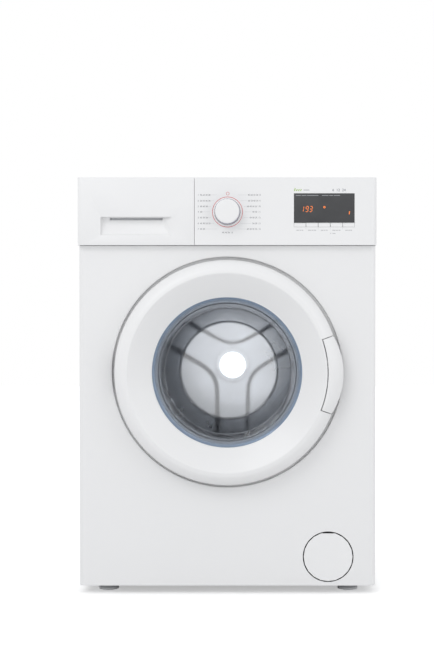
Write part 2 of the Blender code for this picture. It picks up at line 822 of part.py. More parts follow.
def drawer_front():
    left, low, high = -FASCIA_WIDTH / 2, SEAM_Z, HEIGHT - SEAT
    right = DRAWER_RIGHT - SEAM / 2
    outline = rounded([
        (left, FASCIA_Y, EDGE_RADIUS), (right, FASCIA_Y, 0), (right, DRAWER_BACK_Y, 0), (
            left, DRAWER_BACK_Y, 0,
        ),
    ])
    front = slab("drawer_front", outline, low, high, "white_plastic")
    grip_left, grip_low, grip_right, grip_high = GRIP
    floor = FASCIA_Y + GRIP_DEPTH
    sweep = GRIP_DEPTH * 2
    pocket = rounded([
        (grip_left, FASCIA_Y - OVERRUN, 0),
        (grip_left, floor, MOULDED),
        (grip_right - sweep, floor, sweep),
        (grip_right + MOULDED, FASCIA_Y - OVERRUN / 2, 0),
        (grip_right + MOULDED, FASCIA_Y - OVERRUN, 0),
    ], steps=2 * CORNER_STEPS)
    slot_left, slot_right = GRIP_SLOT
    cut(
        front,
        slab("grip_pocket", pocket, grip_low, grip_high),
        box(
            "grip_slot", (slot_left, FASCIA_Y + GRIP_SLOT_WALL, grip_high - MOULDED),
            (slot_right, floor - MOULDED / 2, grip_high + GRIP_SLOT_HEIGHT),
        ),
    )
    return front


def tray_bounds(room=0):
    return (
        (TRAY_LEFT - room, DRAWER_BACK_Y + SEAT, TRAY_LOW_Z - room),
        (TRAY_RIGHT + room, DRAWER_BACK_Y + SEAT + TRAY_LENGTH + room, TRAY_LOW_Z + TRAY_HEIGHT + room),
    )


def tray_walls():
    """The x of each compartment's left and right side."""
    width = TRAY_RIGHT - TRAY_LEFT
    edges = [
        TRAY_LEFT + TRAY_WALL / 2, *(TRAY_LEFT + share * width for share in DIVIDER_SHARES),
        TRAY_RIGHT - TRAY_WALL / 2,
    ]
    return [(left + TRAY_WALL / 2, right - TRAY_WALL / 2) for left, right in zip(edges, edges[1:])]


def drawer_tray():
    low, high = tray_bounds()
    tray = slab(
        "drawer_tray", rectangle(low[0], low[1], high[0], high[1], TRAY_CORNER), low[2], high[2],
        "grey_plastic",
    )
    for left, right in tray_walls():
        inner = rectangle(left, low[1] + TRAY_WALL, right, high[1] - TRAY_WALL, TRAY_CORNER - TRAY_WALL)
        cut(tray, slab("compartment", inner, low[2] + TRAY_WALL, high[2] + OVERRUN))
    for left, right in tray_walls()[:1]:
        x, y = (left + right) / 2, high[1] - TRAY_WALL - 2 * SIPHON_RADIUS
        cap = rod(
            "siphon_cap", (x, y, low[2] + TRAY_WALL / 2), (x, y, low[2] + SIPHON_HEIGHT), SIPHON_RADIUS,
            end_radius=SIPHON_RADIUS * 2 / 3,
        )
        join(tray, cap)
    return tray


HOUSING_FLOOR_Z = SEAM_Z + 0.010
HOUSING_TOP_Z = SEAM_Z + 0.090
HOUSING_SUMP_INSET = 0.012
OUTLET_X = TRAY_LEFT + 0.082
OUTLET_Y = FRONT_Y + 0.1485
OUTLET_RADIUS = 0.018
OUTLET_BORE = 0.015
OUTLET_LENGTH = 0.016
INLET_Z = SEAM_Z + 0.068
SPIGOT_RADIUS = 0.007
SPIGOT_LENGTH = 0.012


def dispenser_box():
    low, high = tray_bounds(RUNNING)
    front = DRAWER_BACK_Y + SEAT + MOULDED + SEAT
    housing = box(
        "dispenser_box", (low[0] - MOULDED, front, HOUSING_FLOOR_Z),
        (high[0] + MOULDED, high[1] + MOULDED, HOUSING_TOP_Z), "grey_plastic", edge=MOULDED,
    )
    join(
        housing,
        rod(
            "hose_outlet", (OUTLET_X, OUTLET_Y, HOUSING_FLOOR_Z + MOULDED / 2),
            (OUTLET_X, OUTLET_Y, HOUSING_FLOOR_Z - OUTLET_LENGTH), OUTLET_RADIUS,
        ),
        front_rod(
            "water_inlet", OUTLET_X, INLET_Z, high[1] + MOULDED / 2, high[1] + MOULDED + SPIGOT_LENGTH,
            SPIGOT_RADIUS, steps=8,
        ),
    )
    cut(
        housing,
        box("tray_room", (low[0], front - OVERRUN, low[2]), (high[0], high[1], high[2])),
        box(
            "sump_room", (
                low[0] + HOUSING_SUMP_INSET, front + HOUSING_SUMP_INSET, HOUSING_FLOOR_Z + MOULDED,
            ),
            (high[0] - HOUSING_SUMP_INSET, high[1] - HOUSING_SUMP_INSET, low[2] + MOULDED),
        ),
        rod(
            "outlet_bore", (OUTLET_X, OUTLET_Y, HOUSING_FLOOR_Z + 2 * MOULDED),
            (OUTLET_X, OUTLET_Y, HOUSING_FLOOR_Z - OUTLET_LENGTH - OVERRUN), OUTLET_BORE,
        ),
    )
    return housing


# Door, its hinge, its handle and its lock

DOOR_WALL = 0.0025
RIM_BACK_Y = FRONT_Y - 0.0020
RIM_PEAK_Y = -DEPTH / 2
RIDGE_FOOT_RADIUS = RIDGE_RADIUS - 0.0025
RIDGE_FOOT_DEPTH = 0.0007
RIM_SHOULDER = ((0.0080, 0.0020), (0.0160, 0.0073), (0.0220, 0.0140))
RIM_ROUND_DEPTH = 0.0210
WINDOW_EDGE = 0.0035
WINDOW_CHAMFER = 0.0020
WINDOW_CHAMFER_RISE = 0.0009
RING_OUTER_RADIUS = DOOR_RADIUS - DOOR_WALL - SEAT
RING_INNER_RADIUS = 0.154
RING_SEAT = 0.006
RING_LIP = 0.0047
RING_LIP_Y = FRONT_Y - 0.0070
RING_FRONT_Y = FRONT_Y + 0.0015
RING_BACK_Y = FRONT_Y + 0.0045
GLASS_WALL = 0.004
GLASS_STEPS = 28
GLASS_LIP_Y = FRONT_Y - 0.0105
GLASS_LIP_RADIUS = WINDOW_RADIUS + 0.008
GLASS_LIP_WIDTH = 0.009
BOWL_LINE = ((0.0620, 0.1015), (0.0400, 0.0910), (0.0280, 0.0690), (0.0180, 0.0390), (0.0125, 0.0140))
HINGE_NOTCH_HALF = 0.040
HINGE_NOTCH_X = HINGE_X + 0.006
HINGE_NOTCH_Y = HINGE_Y - 0.0065
HINGE_PAD = (HINGE_X + 0.017, HINGE_X + 0.037)
HINGE_PAD_HALF = 0.020
HINGE_PIN_RADIUS = 0.003
HINGE_PIN_HALF = 0.0375
KNUCKLE_HALF = 0.0297
LEAF_HALF = 0.028
LEAF_LENGTH = 0.040
LEAF_THICKNESS = 0.003
BRACKET_LEFT = HINGE_X - 0.013
BRACKET_RIGHT = HINGE_X + 0.038
BRACKET_HALF = 0.055
BRACKET_THICKNESS = 0.0025
HANDLE_ANGLES = (math.radians(-21.7), math.radians(19.5))
HANDLE_GAP_ANGLE = math.radians(0.40)
HANDLE_CUT_RADIUS = RIDGE_RADIUS + 0.0010
HANDLE_INNER_RADIUS = RIDGE_RADIUS + 0.0028
HANDLE_LIP = 0.008
HANDLE_STEPS = 12
HANDLE_SECTION = (
    (0.0028, 0.0006), (0.0080, 0.0020), (0.0160, 0.0073), (0.0220, 0.0140), (0.0255, 0.0225),
    (0.0255, 0.0285), (0.0225, 0.0285), (0.0190, 0.0175), (0.0120, 0.0095), (0.0028, 0.0045),
)
HANDLE_LUG_OUTLINE = ((-0.0080, 0.0042), (-0.0010, 0.0013), (-0.0010, 0.0123), (-0.0080, 0.0123))
HANDLE_EAR_REACH = (0.0085, 0.0057)
HANDLE_PIVOT = (RIDGE_RADIUS - 0.0045, RIM_PEAK_Y + 0.0085)
HANDLE_PIN_RADIUS = 0.002
HANDLE_EAR_RADIUS = 0.0026
HANDLE_EAR = (0.020, 0.025)
HANDLE_LUG = (0.0256, 0.0306)
HANDLE_PIN_END = 0.0303
HANDLE_FINGER = ((0.0040, 0.0035), (0.0090, 0.0070), (0.0018, 0.0305), (-0.0018, 0.0305))
HANDLE_FINGER_HALF = 0.004
HOOK_PIVOT = (HOOK_X, FRONT_Y - 0.0015)
HOOK_HALF = 0.0085
HOOK_PIN_HALF = 0.0135
HOOK_OUTLINE = (
    (-0.0030, -0.0140), (0.0030, -0.0140), (0.0030, 0.0210), (0.0080, 0.0235), (0.0045, 0.0280), (
        -0.0030, 0.0280,
    ),
)
HOOK_BLOCK = (HOOK_X - 0.0105, HOOK_X + 0.0105)
HOOK_BLOCK_HALF = 0.018
HOOK_ROOM = (HOOK_X - 0.0070, HOOK_X + 0.0070, 0.0100)
LOCK_BOX = (HOOK_X - 0.0185, HOOK_X + 0.0195)
LOCK_BACK_Y = FRONT_Y + 0.0435
LOCK_HALF = 0.055
LOCK_ROOM_BACK_Y = FRONT_Y + 0.0340
LOCK_ROOM = (HOOK_X - 0.0110, HOOK_X + 0.0120, 0.0105)
CATCH_BAR = (HOOK_X + 0.0095, FRONT_Y + 0.0145, FRONT_Y + 0.0185)


def from_ridge(points):
    """Places given out from the ridge and back from its peak, as (radius, y)."""
    return [(RIDGE_RADIUS + out, RIM_PEAK_Y + back) for out, back in points]


def door_frame_outer():
    frame = turned_shell("door_frame_outer", [
        (WINDOW_RADIUS, GLASS_LIP_Y - SEAT),
        (WINDOW_RADIUS, GLASS_LIP_Y - SEAT - WINDOW_EDGE),
        (WINDOW_RADIUS + WINDOW_CHAMFER, GLASS_LIP_Y - SEAT - WINDOW_EDGE - WINDOW_CHAMFER_RISE),
        (RIDGE_FOOT_RADIUS, RIM_PEAK_Y + RIDGE_FOOT_DEPTH),
        (RIDGE_RADIUS, RIM_PEAK_Y),
        *from_ridge(RIM_SHOULDER),
        (DOOR_RADIUS, RIM_PEAK_Y + RIM_ROUND_DEPTH),
        (DOOR_RADIUS, RIM_BACK_Y),
    ], DOOR_WALL, "white_plastic", DOOR_PLACE)
    cut(frame, handle_sector(), hinge_notch())
    for low, high in both_sides(HANDLE_LUG):
        join(frame, handle_lug(low, high))
    return frame


def both_sides(limits):
    """The z limits of a pair of features, above and below the door's centre."""
    low, high = limits
    return [(DOOR_CENTRE_Z + low, DOOR_CENTRE_Z + high), (DOOR_CENTRE_Z - high, DOOR_CENTRE_Z - low)]


def around_door(radius, angle):
    return radius * math.cos(angle), DOOR_CENTRE_Z + radius * math.sin(angle)


def handle_sector():
    start, end = HANDLE_ANGLES
    angles = [start + (end - start) * step / HANDLE_STEPS for step in range(HANDLE_STEPS + 1)]
    outline = [around_door(HANDLE_CUT_RADIUS, angle) for angle in angles]
    outline += [around_door(DOOR_RADIUS + OVERRUN, angle) for angle in reversed(angles)]
    return slab("handle_sector", outline, RIM_PEAK_Y - OVERRUN, RIM_BACK_Y + OVERRUN, turn=FRONTWARD)


def hinge_notch():
    return box(
        "hinge_notch", (-DOOR_RADIUS - OVERRUN, HINGE_NOTCH_Y, DOOR_CENTRE_Z - HINGE_NOTCH_HALF),
        (HINGE_NOTCH_X, RING_BACK_Y + OVERRUN, DOOR_CENTRE_Z + HINGE_NOTCH_HALF),
    )


def handle_lug(low, high):
    x, y = HANDLE_PIVOT
    return slab(
        "handle_lug", from_ridge(HANDLE_LUG_OUTLINE), low, high,
        holes=[circle(x, y, HANDLE_PIN_RADIUS + SEAT, 8)],
    )


def door_frame_inner():
    ring = turned("door_frame_inner", [
        (RING_INNER_RADIUS, GLASS_LIP_Y + GLASS_WALL + SEAT),
        (RING_INNER_RADIUS + RING_SEAT, GLASS_LIP_Y + GLASS_WALL + SEAT),
        (RING_INNER_RADIUS + RING_SEAT, RING_FRONT_Y),
        (RING_OUTER_RADIUS - RING_LIP, RING_FRONT_Y),
        (RING_OUTER_RADIUS - RING_LIP, RING_LIP_Y),
        (RING_OUTER_RADIUS, RING_LIP_Y),
        (RING_OUTER_RADIUS, RING_BACK_Y),
        (RING_INNER_RADIUS, RING_BACK_Y),
    ], "white_plastic", DOOR_PLACE)
    seat = (RING_FRONT_Y + RING_BACK_Y) / 2
    join(
        ring,
        box(
            "hinge_pad", (
                HINGE_PAD[0], HINGE_Y + LEAF_THICKNESS / 2 + SEAT, DOOR_CENTRE_Z - HINGE_PAD_HALF,
            ),
            (HINGE_PAD[1], seat, DOOR_CENTRE_Z + HINGE_PAD_HALF),
        ),
        box(
            "hook_block", (HOOK_BLOCK[0], RING_LIP_Y + SEAT, DOOR_CENTRE_Z - HOOK_BLOCK_HALF),
            (HOOK_BLOCK[1], seat, DOOR_CENTRE_Z + HOOK_BLOCK_HALF),
        ),
    )
    left, right, half = HOOK_ROOM
    x, y = HOOK_PIVOT
    reach = HOOK_PIN_HALF + RUNNING
    cut(
        ring,
        hinge_notch(),
        box(
            "hook_room", (left, y - OVERRUN, DOOR_CENTRE_Z - half),
            (right, y + OVERRUN, DOOR_CENTRE_Z + half),
        ),
        rod(
            "hook_pin_hole", (x, y, DOOR_CENTRE_Z - reach), (x, y, DOOR_CENTRE_Z + reach), HANDLE_PIN_RADIUS + SEAT, steps=8,
        ),
    )
    return ring


def door_glass():
    return turned_shell("door_glass", [
        (0, GLASS_LIP_Y + BOWL_LINE[0][1]),
        *((GLASS_LIP_RADIUS - inward, GLASS_LIP_Y + back) for inward, back in BOWL_LINE),
        (GLASS_LIP_RADIUS - GLASS_LIP_WIDTH, GLASS_LIP_Y),
        (GLASS_LIP_RADIUS, GLASS_LIP_Y),
    ], GLASS_WALL, "door_glass", DOOR_PLACE, steps=GLASS_STEPS)


def hinge_arm():
    """The door's half of the hinge: a knuckle with its pin, and a leaf that is screwed to the inner ring."""
    x, y, z = HINGE_X, HINGE_Y, DOOR_CENTRE_Z
    arm = rod("hinge_arm", (x, y, z - KNUCKLE_HALF), (x, y, z + KNUCKLE_HALF), HINGE_ARM_HALF, "zinc_steel")
    join(
        arm,
        rod(
            "hinge_pin", (x, y, z - HINGE_PIN_HALF), (x, y, z + HINGE_PIN_HALF), HINGE_PIN_RADIUS, steps=12,
        ),
        box(
            "hinge_leaf", (x, y - LEAF_THICKNESS / 2, z - LEAF_HALF),
            (x + LEAF_LENGTH, y + LEAF_THICKNESS / 2, z + LEAF_HALF),
        ),
    )
    return arm


def hinge_bracket():
    """The cabinet's half of the hinge, bolted behind the dish."""
    front = FLOOR_Y + SHEET + SEAT
    bracket = box(
        "hinge_bracket", (BRACKET_LEFT, front, DOOR_CENTRE_Z - BRACKET_HALF),
        (BRACKET_RIGHT, front + BRACKET_THICKNESS, DOOR_CENTRE_Z + BRACKET_HALF), "zinc_steel",
    )
    half, back = HINGE_ARM_HALF, front + BRACKET_THICKNESS / 2
    nose = HINGE_Y - half
    bend = half * NOSE_SHARE
    outline = rounded([
        (HINGE_X - half, nose, bend), (HINGE_X + half, nose, bend),
        (HINGE_X + half, back, 0), (HINGE_X - half, back, 0),
    ])
    for low, high in hinge_lug_heights():
        hole = circle(HINGE_X, HINGE_Y, HINGE_PIN_RADIUS + SEAT, 12)
        join(bracket, slab("hinge_lug", outline, low, high, holes=[hole]))
    return bracket


def door_handle():
    """A bowed grip, lofted along its sector of the door's rim."""
    start, end = (angle + side * HANDLE_GAP_ANGLE for angle, side in zip(HANDLE_ANGLES, (1, -1)))
    form = bmesh.new()
    rings = []
    for step in range(HANDLE_STEPS + 1):
        angle = start + (end - start) * step / HANDLE_STEPS
        share = 2 * step / HANDLE_STEPS - 1
        lip = 1 + HANDLE_LIP * (1 - share ** 2) / (DOOR_RADIUS - HANDLE_INNER_RADIUS)
        ring = []
        for radius, y in from_ridge(HANDLE_SECTION):
            x, z = around_door(HANDLE_INNER_RADIUS + (radius - HANDLE_INNER_RADIUS) * lip, angle)
            ring.append(form.verts.new((x, y, z)))
        rings.append(ring)
    for here, there in zip(rings, rings[1:]):
        for index in range(len(here)):
            after = (index + 1) % len(here)
            form.faces.new((here[index], there[index], there[after], here[after]))
    form.faces.new(rings[0])
    form.faces.new(rings[-1][::-1])
    bmesh.ops.recalc_face_normals(form, faces=form.faces)
    handle = add_piece("door_handle", mesh_of("door_handle", form), "white_plastic")
    x, y = HANDLE_PIVOT
    (reach, rise), radius = from_ridge([HANDLE_EAR_REACH])[0], HANDLE_EAR_RADIUS
    for low, high in both_sides(HANDLE_EAR):
        outline = [
            (x - radius, y - radius / 2), (x - radius / 2, y - radius), (reach, rise),
            (reach, y + radius), (x, y + radius), (x - radius, y + radius / 2),
        ]
        join(handle, slab("handle_ear", outline, low, high))
    join(
        handle,
        slab(
            "handle_finger", from_ridge(HANDLE_FINGER), DOOR_CENTRE_Z - HANDLE_FINGER_HALF,
            DOOR_CENTRE_Z + HANDLE_FINGER_HALF,
        ),
    )
    middle = sum(HANDLE_EAR) / 2
    for side in (-1, 1):
        inner, outer = DOOR_CENTRE_Z + side * middle, DOOR_CENTRE_Z + side * HANDLE_PIN_END
        join(handle, rod("handle_pin", (x, y, inner), (x, y, outer), HANDLE_PIN_RADIUS, steps=8))
    return handle


def door_hook():
    x, y = HOOK_PIVOT
    outline = [(x + out, y + back) for out, back in HOOK_OUTLINE]
    hook = slab("door_hook", outline, DOOR_CENTRE_Z - HOOK_HALF, DOOR_CENTRE_Z + HOOK_HALF, "zinc_steel")
    join(hook, rod(
        "hook_pin", (x, y, DOOR_CENTRE_Z - HOOK_PIN_HALF), (x, y, DOOR_CENTRE_Z + HOOK_PIN_HALF), HANDLE_PIN_RADIUS, steps=8,
    ))
    return hook


def door_lock():
    front = FLOOR_Y + SHEET + SEAT
    lock = box(
        "door_lock", (LOCK_BOX[0], front, DOOR_CENTRE_Z - LOCK_HALF),
        (LOCK_BOX[1], LOCK_BACK_Y, DOOR_CENTRE_Z + LOCK_HALF), "grey_moulding", edge=DOOR_WALL,
    )
    left, right, half = LOCK_ROOM
    cut(lock, box(
        "lock_room", (left, front - OVERRUN, DOOR_CENTRE_Z - half), (
            right, LOCK_ROOM_BACK_Y, DOOR_CENTRE_Z + half,
        ),
    ))
    bar_x, bar_front, bar_back = CATCH_BAR
    join(lock, box(
        "catch_bar", (bar_x, bar_front, DOOR_CENTRE_Z - half - SHEET), (
            right + SHEET, bar_back, DOOR_CENTRE_Z + half + SHEET,
        ),
    ))
    return lock


def band(line, wall):
    """The closed outline of a wall laid evenly on both sides of an open line."""
    points = [Vector(point) for point in line]
    normals = []
    for index, here in enumerate(points):
        ways = []
        if index:
            ways.append((here - points[index - 1]).normalized())
        if index < len(points) - 1:
            ways.append((points[index + 1] - here).normalized())
        across = sum((Vector((-way.y, way.x)) for way in ways), Vector((0, 0))).normalized()
        way = ways[0]
        normals.append(across / across.dot(Vector((-way.y, way.x))))
    one = [tuple(point + normal * wall / 2) for point, normal in zip(points, normals)]
    other = [tuple(point - normal * wall / 2) for point, normal in zip(points, normals)]
    return one + other[::-1]


GASKET_WALL = 0.0022
GASKET_LINE = (
    (0.0018, 0.0070), (0.0018, -0.0023), (0.0120, -0.0027), (0.0135, 0.0055), (0.0075, 0.0175),
    (0.0080, 0.0235), (0.0135, 0.0265), (0.0097, 0.0345), (0.0097, 0.0435),
)
GASKET_STEPS = 24


def door_gasket():
    """The folded sleeve between the port and the tub, drawn in from the port and back from the dish."""
    line = [(PORT_RADIUS - inward, FLOOR_Y + back) for inward, back in GASKET_LINE]
    return turned("door_gasket", band(line, GASKET_WALL), "grey_rubber", DOOR_PLACE, steps=GASKET_STEPS)


# Base tray, feet and filter hatch

TRAY_FLOOR_Z = FOOT_HEIGHT + SHEET * 5 / 4 + SEAT
TRAY_SHEET = 0.003
TRAY_TOP_Z = 0.0605
TRAY_HALF = CABINET_WIDTH / 2 - 0.0165
TRAY_CORNER_RADIUS = 0.006
TRAY_FLANGE_YS = (FRONT_Y + 0.0435, REAR_Y - 0.0235)
BOSS_RADIUS = 0.013
BOSS_TOP_Z = 0.044
FOOT_X = CABINET_WIDTH / 2 - 0.0525
FOOT_SETBACK = 0.055
FOOT_PAD_RADIUS = 0.0205
FOOT_PAD_HEIGHT = 0.004
FOOT_NECK_RADIUS = 0.0115
FOOT_NECK_Z = 0.009
FOOT_NUT_RADIUS = 0.0130
STUD_RADIUS = 0.005
STUD_TOP_Z = 0.048
RIB_WIDTH = 0.003
RIB_TOP_Z = 0.040
RIB_YS = (FRONT_Y + 0.1285, FRONT_Y + 0.3035, FRONT_Y + 0.4185)
DAMPER_X = 0.175
DAMPER_Y = 0.0293
DAMPER_LOW_Z = FOOT_HEIGHT + 0.029
DAMPER_HIGH_Z = DOOR_CENTRE_Z - 0.214
DAMPER_PIN_RADIUS = 0.005
DAMPER_EYE_RADIUS = 0.010
DAMPER_EYE_HALF = 0.005
DAMPER_LUG = (0.016, 0.024)
DAMPER_LUG_HALF = 0.013
HATCH_AXIS_Y = FRONT_Y + 0.0013
HATCH_AXIS_Z = FILTER_Z - 0.045
HATCH_ARM = (0.0090, 0.0130)
HATCH_ARM_LENGTH = 0.0052
HATCH_POST_WIDTH = 0.003
HATCH_PIN_RADIUS = 0.0007
HATCH_ARM_HALF = 0.0006
HATCH_EAR_WIDTH = 0.0026
HATCH_EAR_HALF = 0.0022
HATCH_SKIN = 0.0006
HATCH_NOTCH = (0.0105, 0.003)
COVER_PROUD = 0.0002
COVER_THICKNESS = 0.0027


def foot_places():
    return {
        "foot_front_left": (-FOOT_X, FRONT_Y + FOOT_SETBACK),
        "foot_front_right": (FOOT_X, FRONT_Y + FOOT_SETBACK),
        "foot_rear_left": (-FOOT_X, REAR_Y - FOOT_SETBACK),
        "foot_rear_right": (FOOT_X, REAR_Y - FOOT_SETBACK),
    }


def tray_outline(inset):
    half = TRAY_HALF - inset
    front, back = FRONT_Y + SHEET + SEAT + inset, REAR_Y - SHEET - SEAT - inset
    return rectangle(-half, front, half, back, TRAY_CORNER_RADIUS - inset)


def base_tray():
    floor = TRAY_FLOOR_Z + TRAY_SHEET
    tray = slab("base_tray", tray_outline(0), TRAY_FLOOR_Z, TRAY_TOP_Z, "grey_moulding")
    cut(
        tray,
        slab("tray_hollow", tray_outline(TRAY_SHEET), floor, TRAY_TOP_Z + OVERRUN),
        box(
            "hatch_gap", (FILTER_X - FILTER_RADIUS - TRAY_SHEET, FRONT_Y - OVERRUN, floor - SEAT),
            (FILTER_X + FILTER_RADIUS + TRAY_SHEET, FRONT_Y + OVERRUN, TRAY_TOP_Z + OVERRUN),
        ),
    )
    half = TRAY_HALF - TRAY_SHEET / 2
    for side in (-1, 1):
        ends = sorted((side * half, side * (WRAP_INSIDE_X - SEAT)))
        join(tray, box(
            "tray_flange", (ends[0], TRAY_FLANGE_YS[0], TRAY_TOP_Z - 2 * TRAY_SHEET),
            (ends[1], TRAY_FLANGE_YS[1], TRAY_TOP_Z - TRAY_SHEET),
        ))
    for y in RIB_YS:
        join(tray, box("tray_rib", (-half, y, floor - TRAY_SHEET / 2), (half, y + RIB_WIDTH, RIB_TOP_Z)))
    for x, y in foot_places().values():
        join(
            tray,
            rod("foot_boss", (x, y, floor - TRAY_SHEET / 2), (x, y, BOSS_TOP_Z), BOSS_RADIUS, steps=8),
        )
        cut(tray, rod("foot_hole", (x, y, 0), (x, y, TRAY_TOP_Z), STUD_RADIUS + RUNNING, steps=8))
    for side in (-1, 1):
        join(tray, damper_lug(side, floor - TRAY_SHEET / 2, DAMPER_LOW_Z + DAMPER_EYE_RADIUS, DAMPER_LOW_Z))
    for left, right in hatch_arm_spans():
        join(tray, *hatch_arm(left, right, floor - TRAY_SHEET / 2))
    return tray


def damper_lug(side, low, high, hole_z):
    """A plate that a damper's pin turns in."""
    x = side * DAMPER_X
    lug = box(
        "damper_lug", (x - DAMPER_LUG_HALF, DAMPER_LUG[0], low), (x + DAMPER_LUG_HALF, DAMPER_LUG[1], high),
    )
    hole = front_rod(
        "damper_hole", x, hole_z, DAMPER_LUG[0] - OVERRUN, DAMPER_LUG[1] + OVERRUN, DAMPER_PIN_RADIUS + SEAT, steps=12,
    )
    return cut(lug, hole)


def hatch_arm_spans():
    """The left and right x of each of the hatch's two hinge arms."""
    near, far = HATCH_ARM
    return [(FILTER_X + near, FILTER_X + far), (FILTER_X - far, FILTER_X - near)]


def hatch_arm(left, right, low):
    """An arm from the tray's floor into the cover's back, and the pin on its end that the cover turns on."""
    half = HATCH_ARM_HALF
    heel, back = HATCH_AXIS_Y + HATCH_ARM_LENGTH, HATCH_AXIS_Y + HATCH_ARM_LENGTH + HATCH_POST_WIDTH
    below, above = HATCH_AXIS_Z - half, HATCH_AXIS_Z + half
    outline = [
        (HATCH_AXIS_Y, below), (heel, below), (heel, low), (back, low), (back, above),
        (HATCH_AXIS_Y, above),
    ]
    reach = HATCH_EAR_WIDTH / 2
    return [
        slab("hatch_arm", outline, left, right, turn=SIDEWARD),
        rod(
            "hatch_pin", (left - reach, HATCH_AXIS_Y, HATCH_AXIS_Z), (
                right + reach, HATCH_AXIS_Y, HATCH_AXIS_Z,
            ),
            HATCH_PIN_RADIUS, steps=8,
        ),
    ]


def feet():
    made = []
    for name, (x, y) in foot_places().items():
        foot = turned(name, [
            (0, 0),
            (FOOT_PAD_RADIUS, 0),
            (FOOT_PAD_RADIUS, -FOOT_PAD_HEIGHT),
            (FOOT_NECK_RADIUS, -FOOT_NECK_Z),
            (FOOT_NECK_RADIUS, SEAT - TRAY_FLOOR_Z),
            (STUD_RADIUS, SEAT - TRAY_FLOOR_Z),
            (STUD_RADIUS, -STUD_TOP_Z),
            (0, -STUD_TOP_Z),
        ], "black_plastic", (x, y, 0), steps=12, turn=UPRIGHT)
        nut_low = FOOT_NECK_Z + SHEET
        join(
            foot,
            rod("foot_nut", (x, y, nut_low), (x, y, TRAY_FLOOR_Z - 2 * SEAT), FOOT_NUT_RADIUS, steps=6),
        )
        made.append(foot)
    return made


def filter_cover():
    radius = FILTER_RADIUS - COVER_GAP / 2
    front, back = FRONT_Y - COVER_PROUD, FRONT_Y - COVER_PROUD + COVER_THICKNESS
    cover = slab(
        "filter_cover", circle(FILTER_X, FILTER_Z, radius, HATCH_STEPS), front, back, "white_plastic", turn=FRONTWARD,
    )
    half, depth = HATCH_NOTCH
    top = FILTER_Z + radius
    cut(cover, box(
        "finger_notch", (FILTER_X - half, front - OVERRUN, top - depth), (
            FILTER_X + half, back + OVERRUN, top + depth,
        ),
    ))
    ear_end = HATCH_AXIS_Y + HATCH_EAR_HALF
    slot_top = HATCH_AXIS_Z + HATCH_PIN_RADIUS + SEAT
    bore = (HATCH_PIN_RADIUS + SEAT) / math.cos(math.pi / 8)
    for left, right in hatch_arm_spans():
        outer = (left - SEAT - HATCH_EAR_WIDTH, right + SEAT + HATCH_EAR_WIDTH)
        join(cover, box(
            "hatch_ear", (outer[0], back - COVER_THICKNESS / 2, HATCH_AXIS_Z - HATCH_EAR_HALF),
            (outer[1], ear_end, HATCH_AXIS_Z + HATCH_EAR_HALF),
        ))
        cut(
            cover,
            box(
                "arm_slot", (left - SEAT, front + HATCH_SKIN, FILTER_Z - radius - OVERRUN),
                (right + SEAT, ear_end + OVERRUN, slot_top),
            ),
            box(
                "arm_slot", (left - SEAT, HATCH_AXIS_Y, HATCH_AXIS_Z),
                (right + SEAT, ear_end + OVERRUN, HATCH_AXIS_Z + HATCH_EAR_HALF + SEAM),
            ),
            rod(
                "pin_bore", (outer[0] + SEAM, HATCH_AXIS_Y, HATCH_AXIS_Z), (
                    outer[1] - SEAM, HATCH_AXIS_Y, HATCH_AXIS_Z,
                ),
                bore, steps=8,
            ),
        )
    return cover


# Drain pump

PUMP_BORE = 0.027
PUMP_RADIUS = 0.031
PUMP_FRONT_Y = FRONT_Y + 0.0115
VOLUTE_Y = FRONT_Y + 0.0835
VOLUTE_RADIUS = 0.036
VOLUTE_END_Y = VOLUTE_Y + 0.035
PUMP_MOTOR_RADIUS = 0.022
PUMP_END_Y = VOLUTE_END_Y + 0.050
PUMP_FLOOR = 0.004
HOSE_BORE = 0.0143
HOSE_RADIUS = 0.0185
NIPPLE_RADIUS = HOSE_BORE - SEAT
NIPPLE_BORE = 0.011
PUMP_INLET_X = FILTER_X - 0.0545
PUMP_INLET_Y = FRONT_Y + 0.0485
PUMP_INLET_Z = FILTER_Z + 0.012
PUMP_OUTLET = (FILTER_X + 0.0125, VOLUTE_Y + 0.018)
PUMP_OUTLET_TOP_Z = FILTER_Z + 0.067
PUMP_OUTLET_RADIUS = 0.010
PUMP_OUTLET_BORE = 0.007
PUMP_SADDLE_HALF = 0.012
PUMP_SADDLES = ((FRONT_Y + 0.0215, FRONT_Y + 0.0355), (FRONT_Y + 0.0935, FRONT_Y + 0.1075))
FILTER_CAP_DEPTH = 0.009
STRAINER_RADIUS = 0.018
STRAINER_WALL = 0.0025
STRAINER_END_Y = VOLUTE_Y - 0.005
STRAINER_SLOT = (0.006, 0.036)
FILTER_GRIP = (0.0215, 0.003, 0.006)


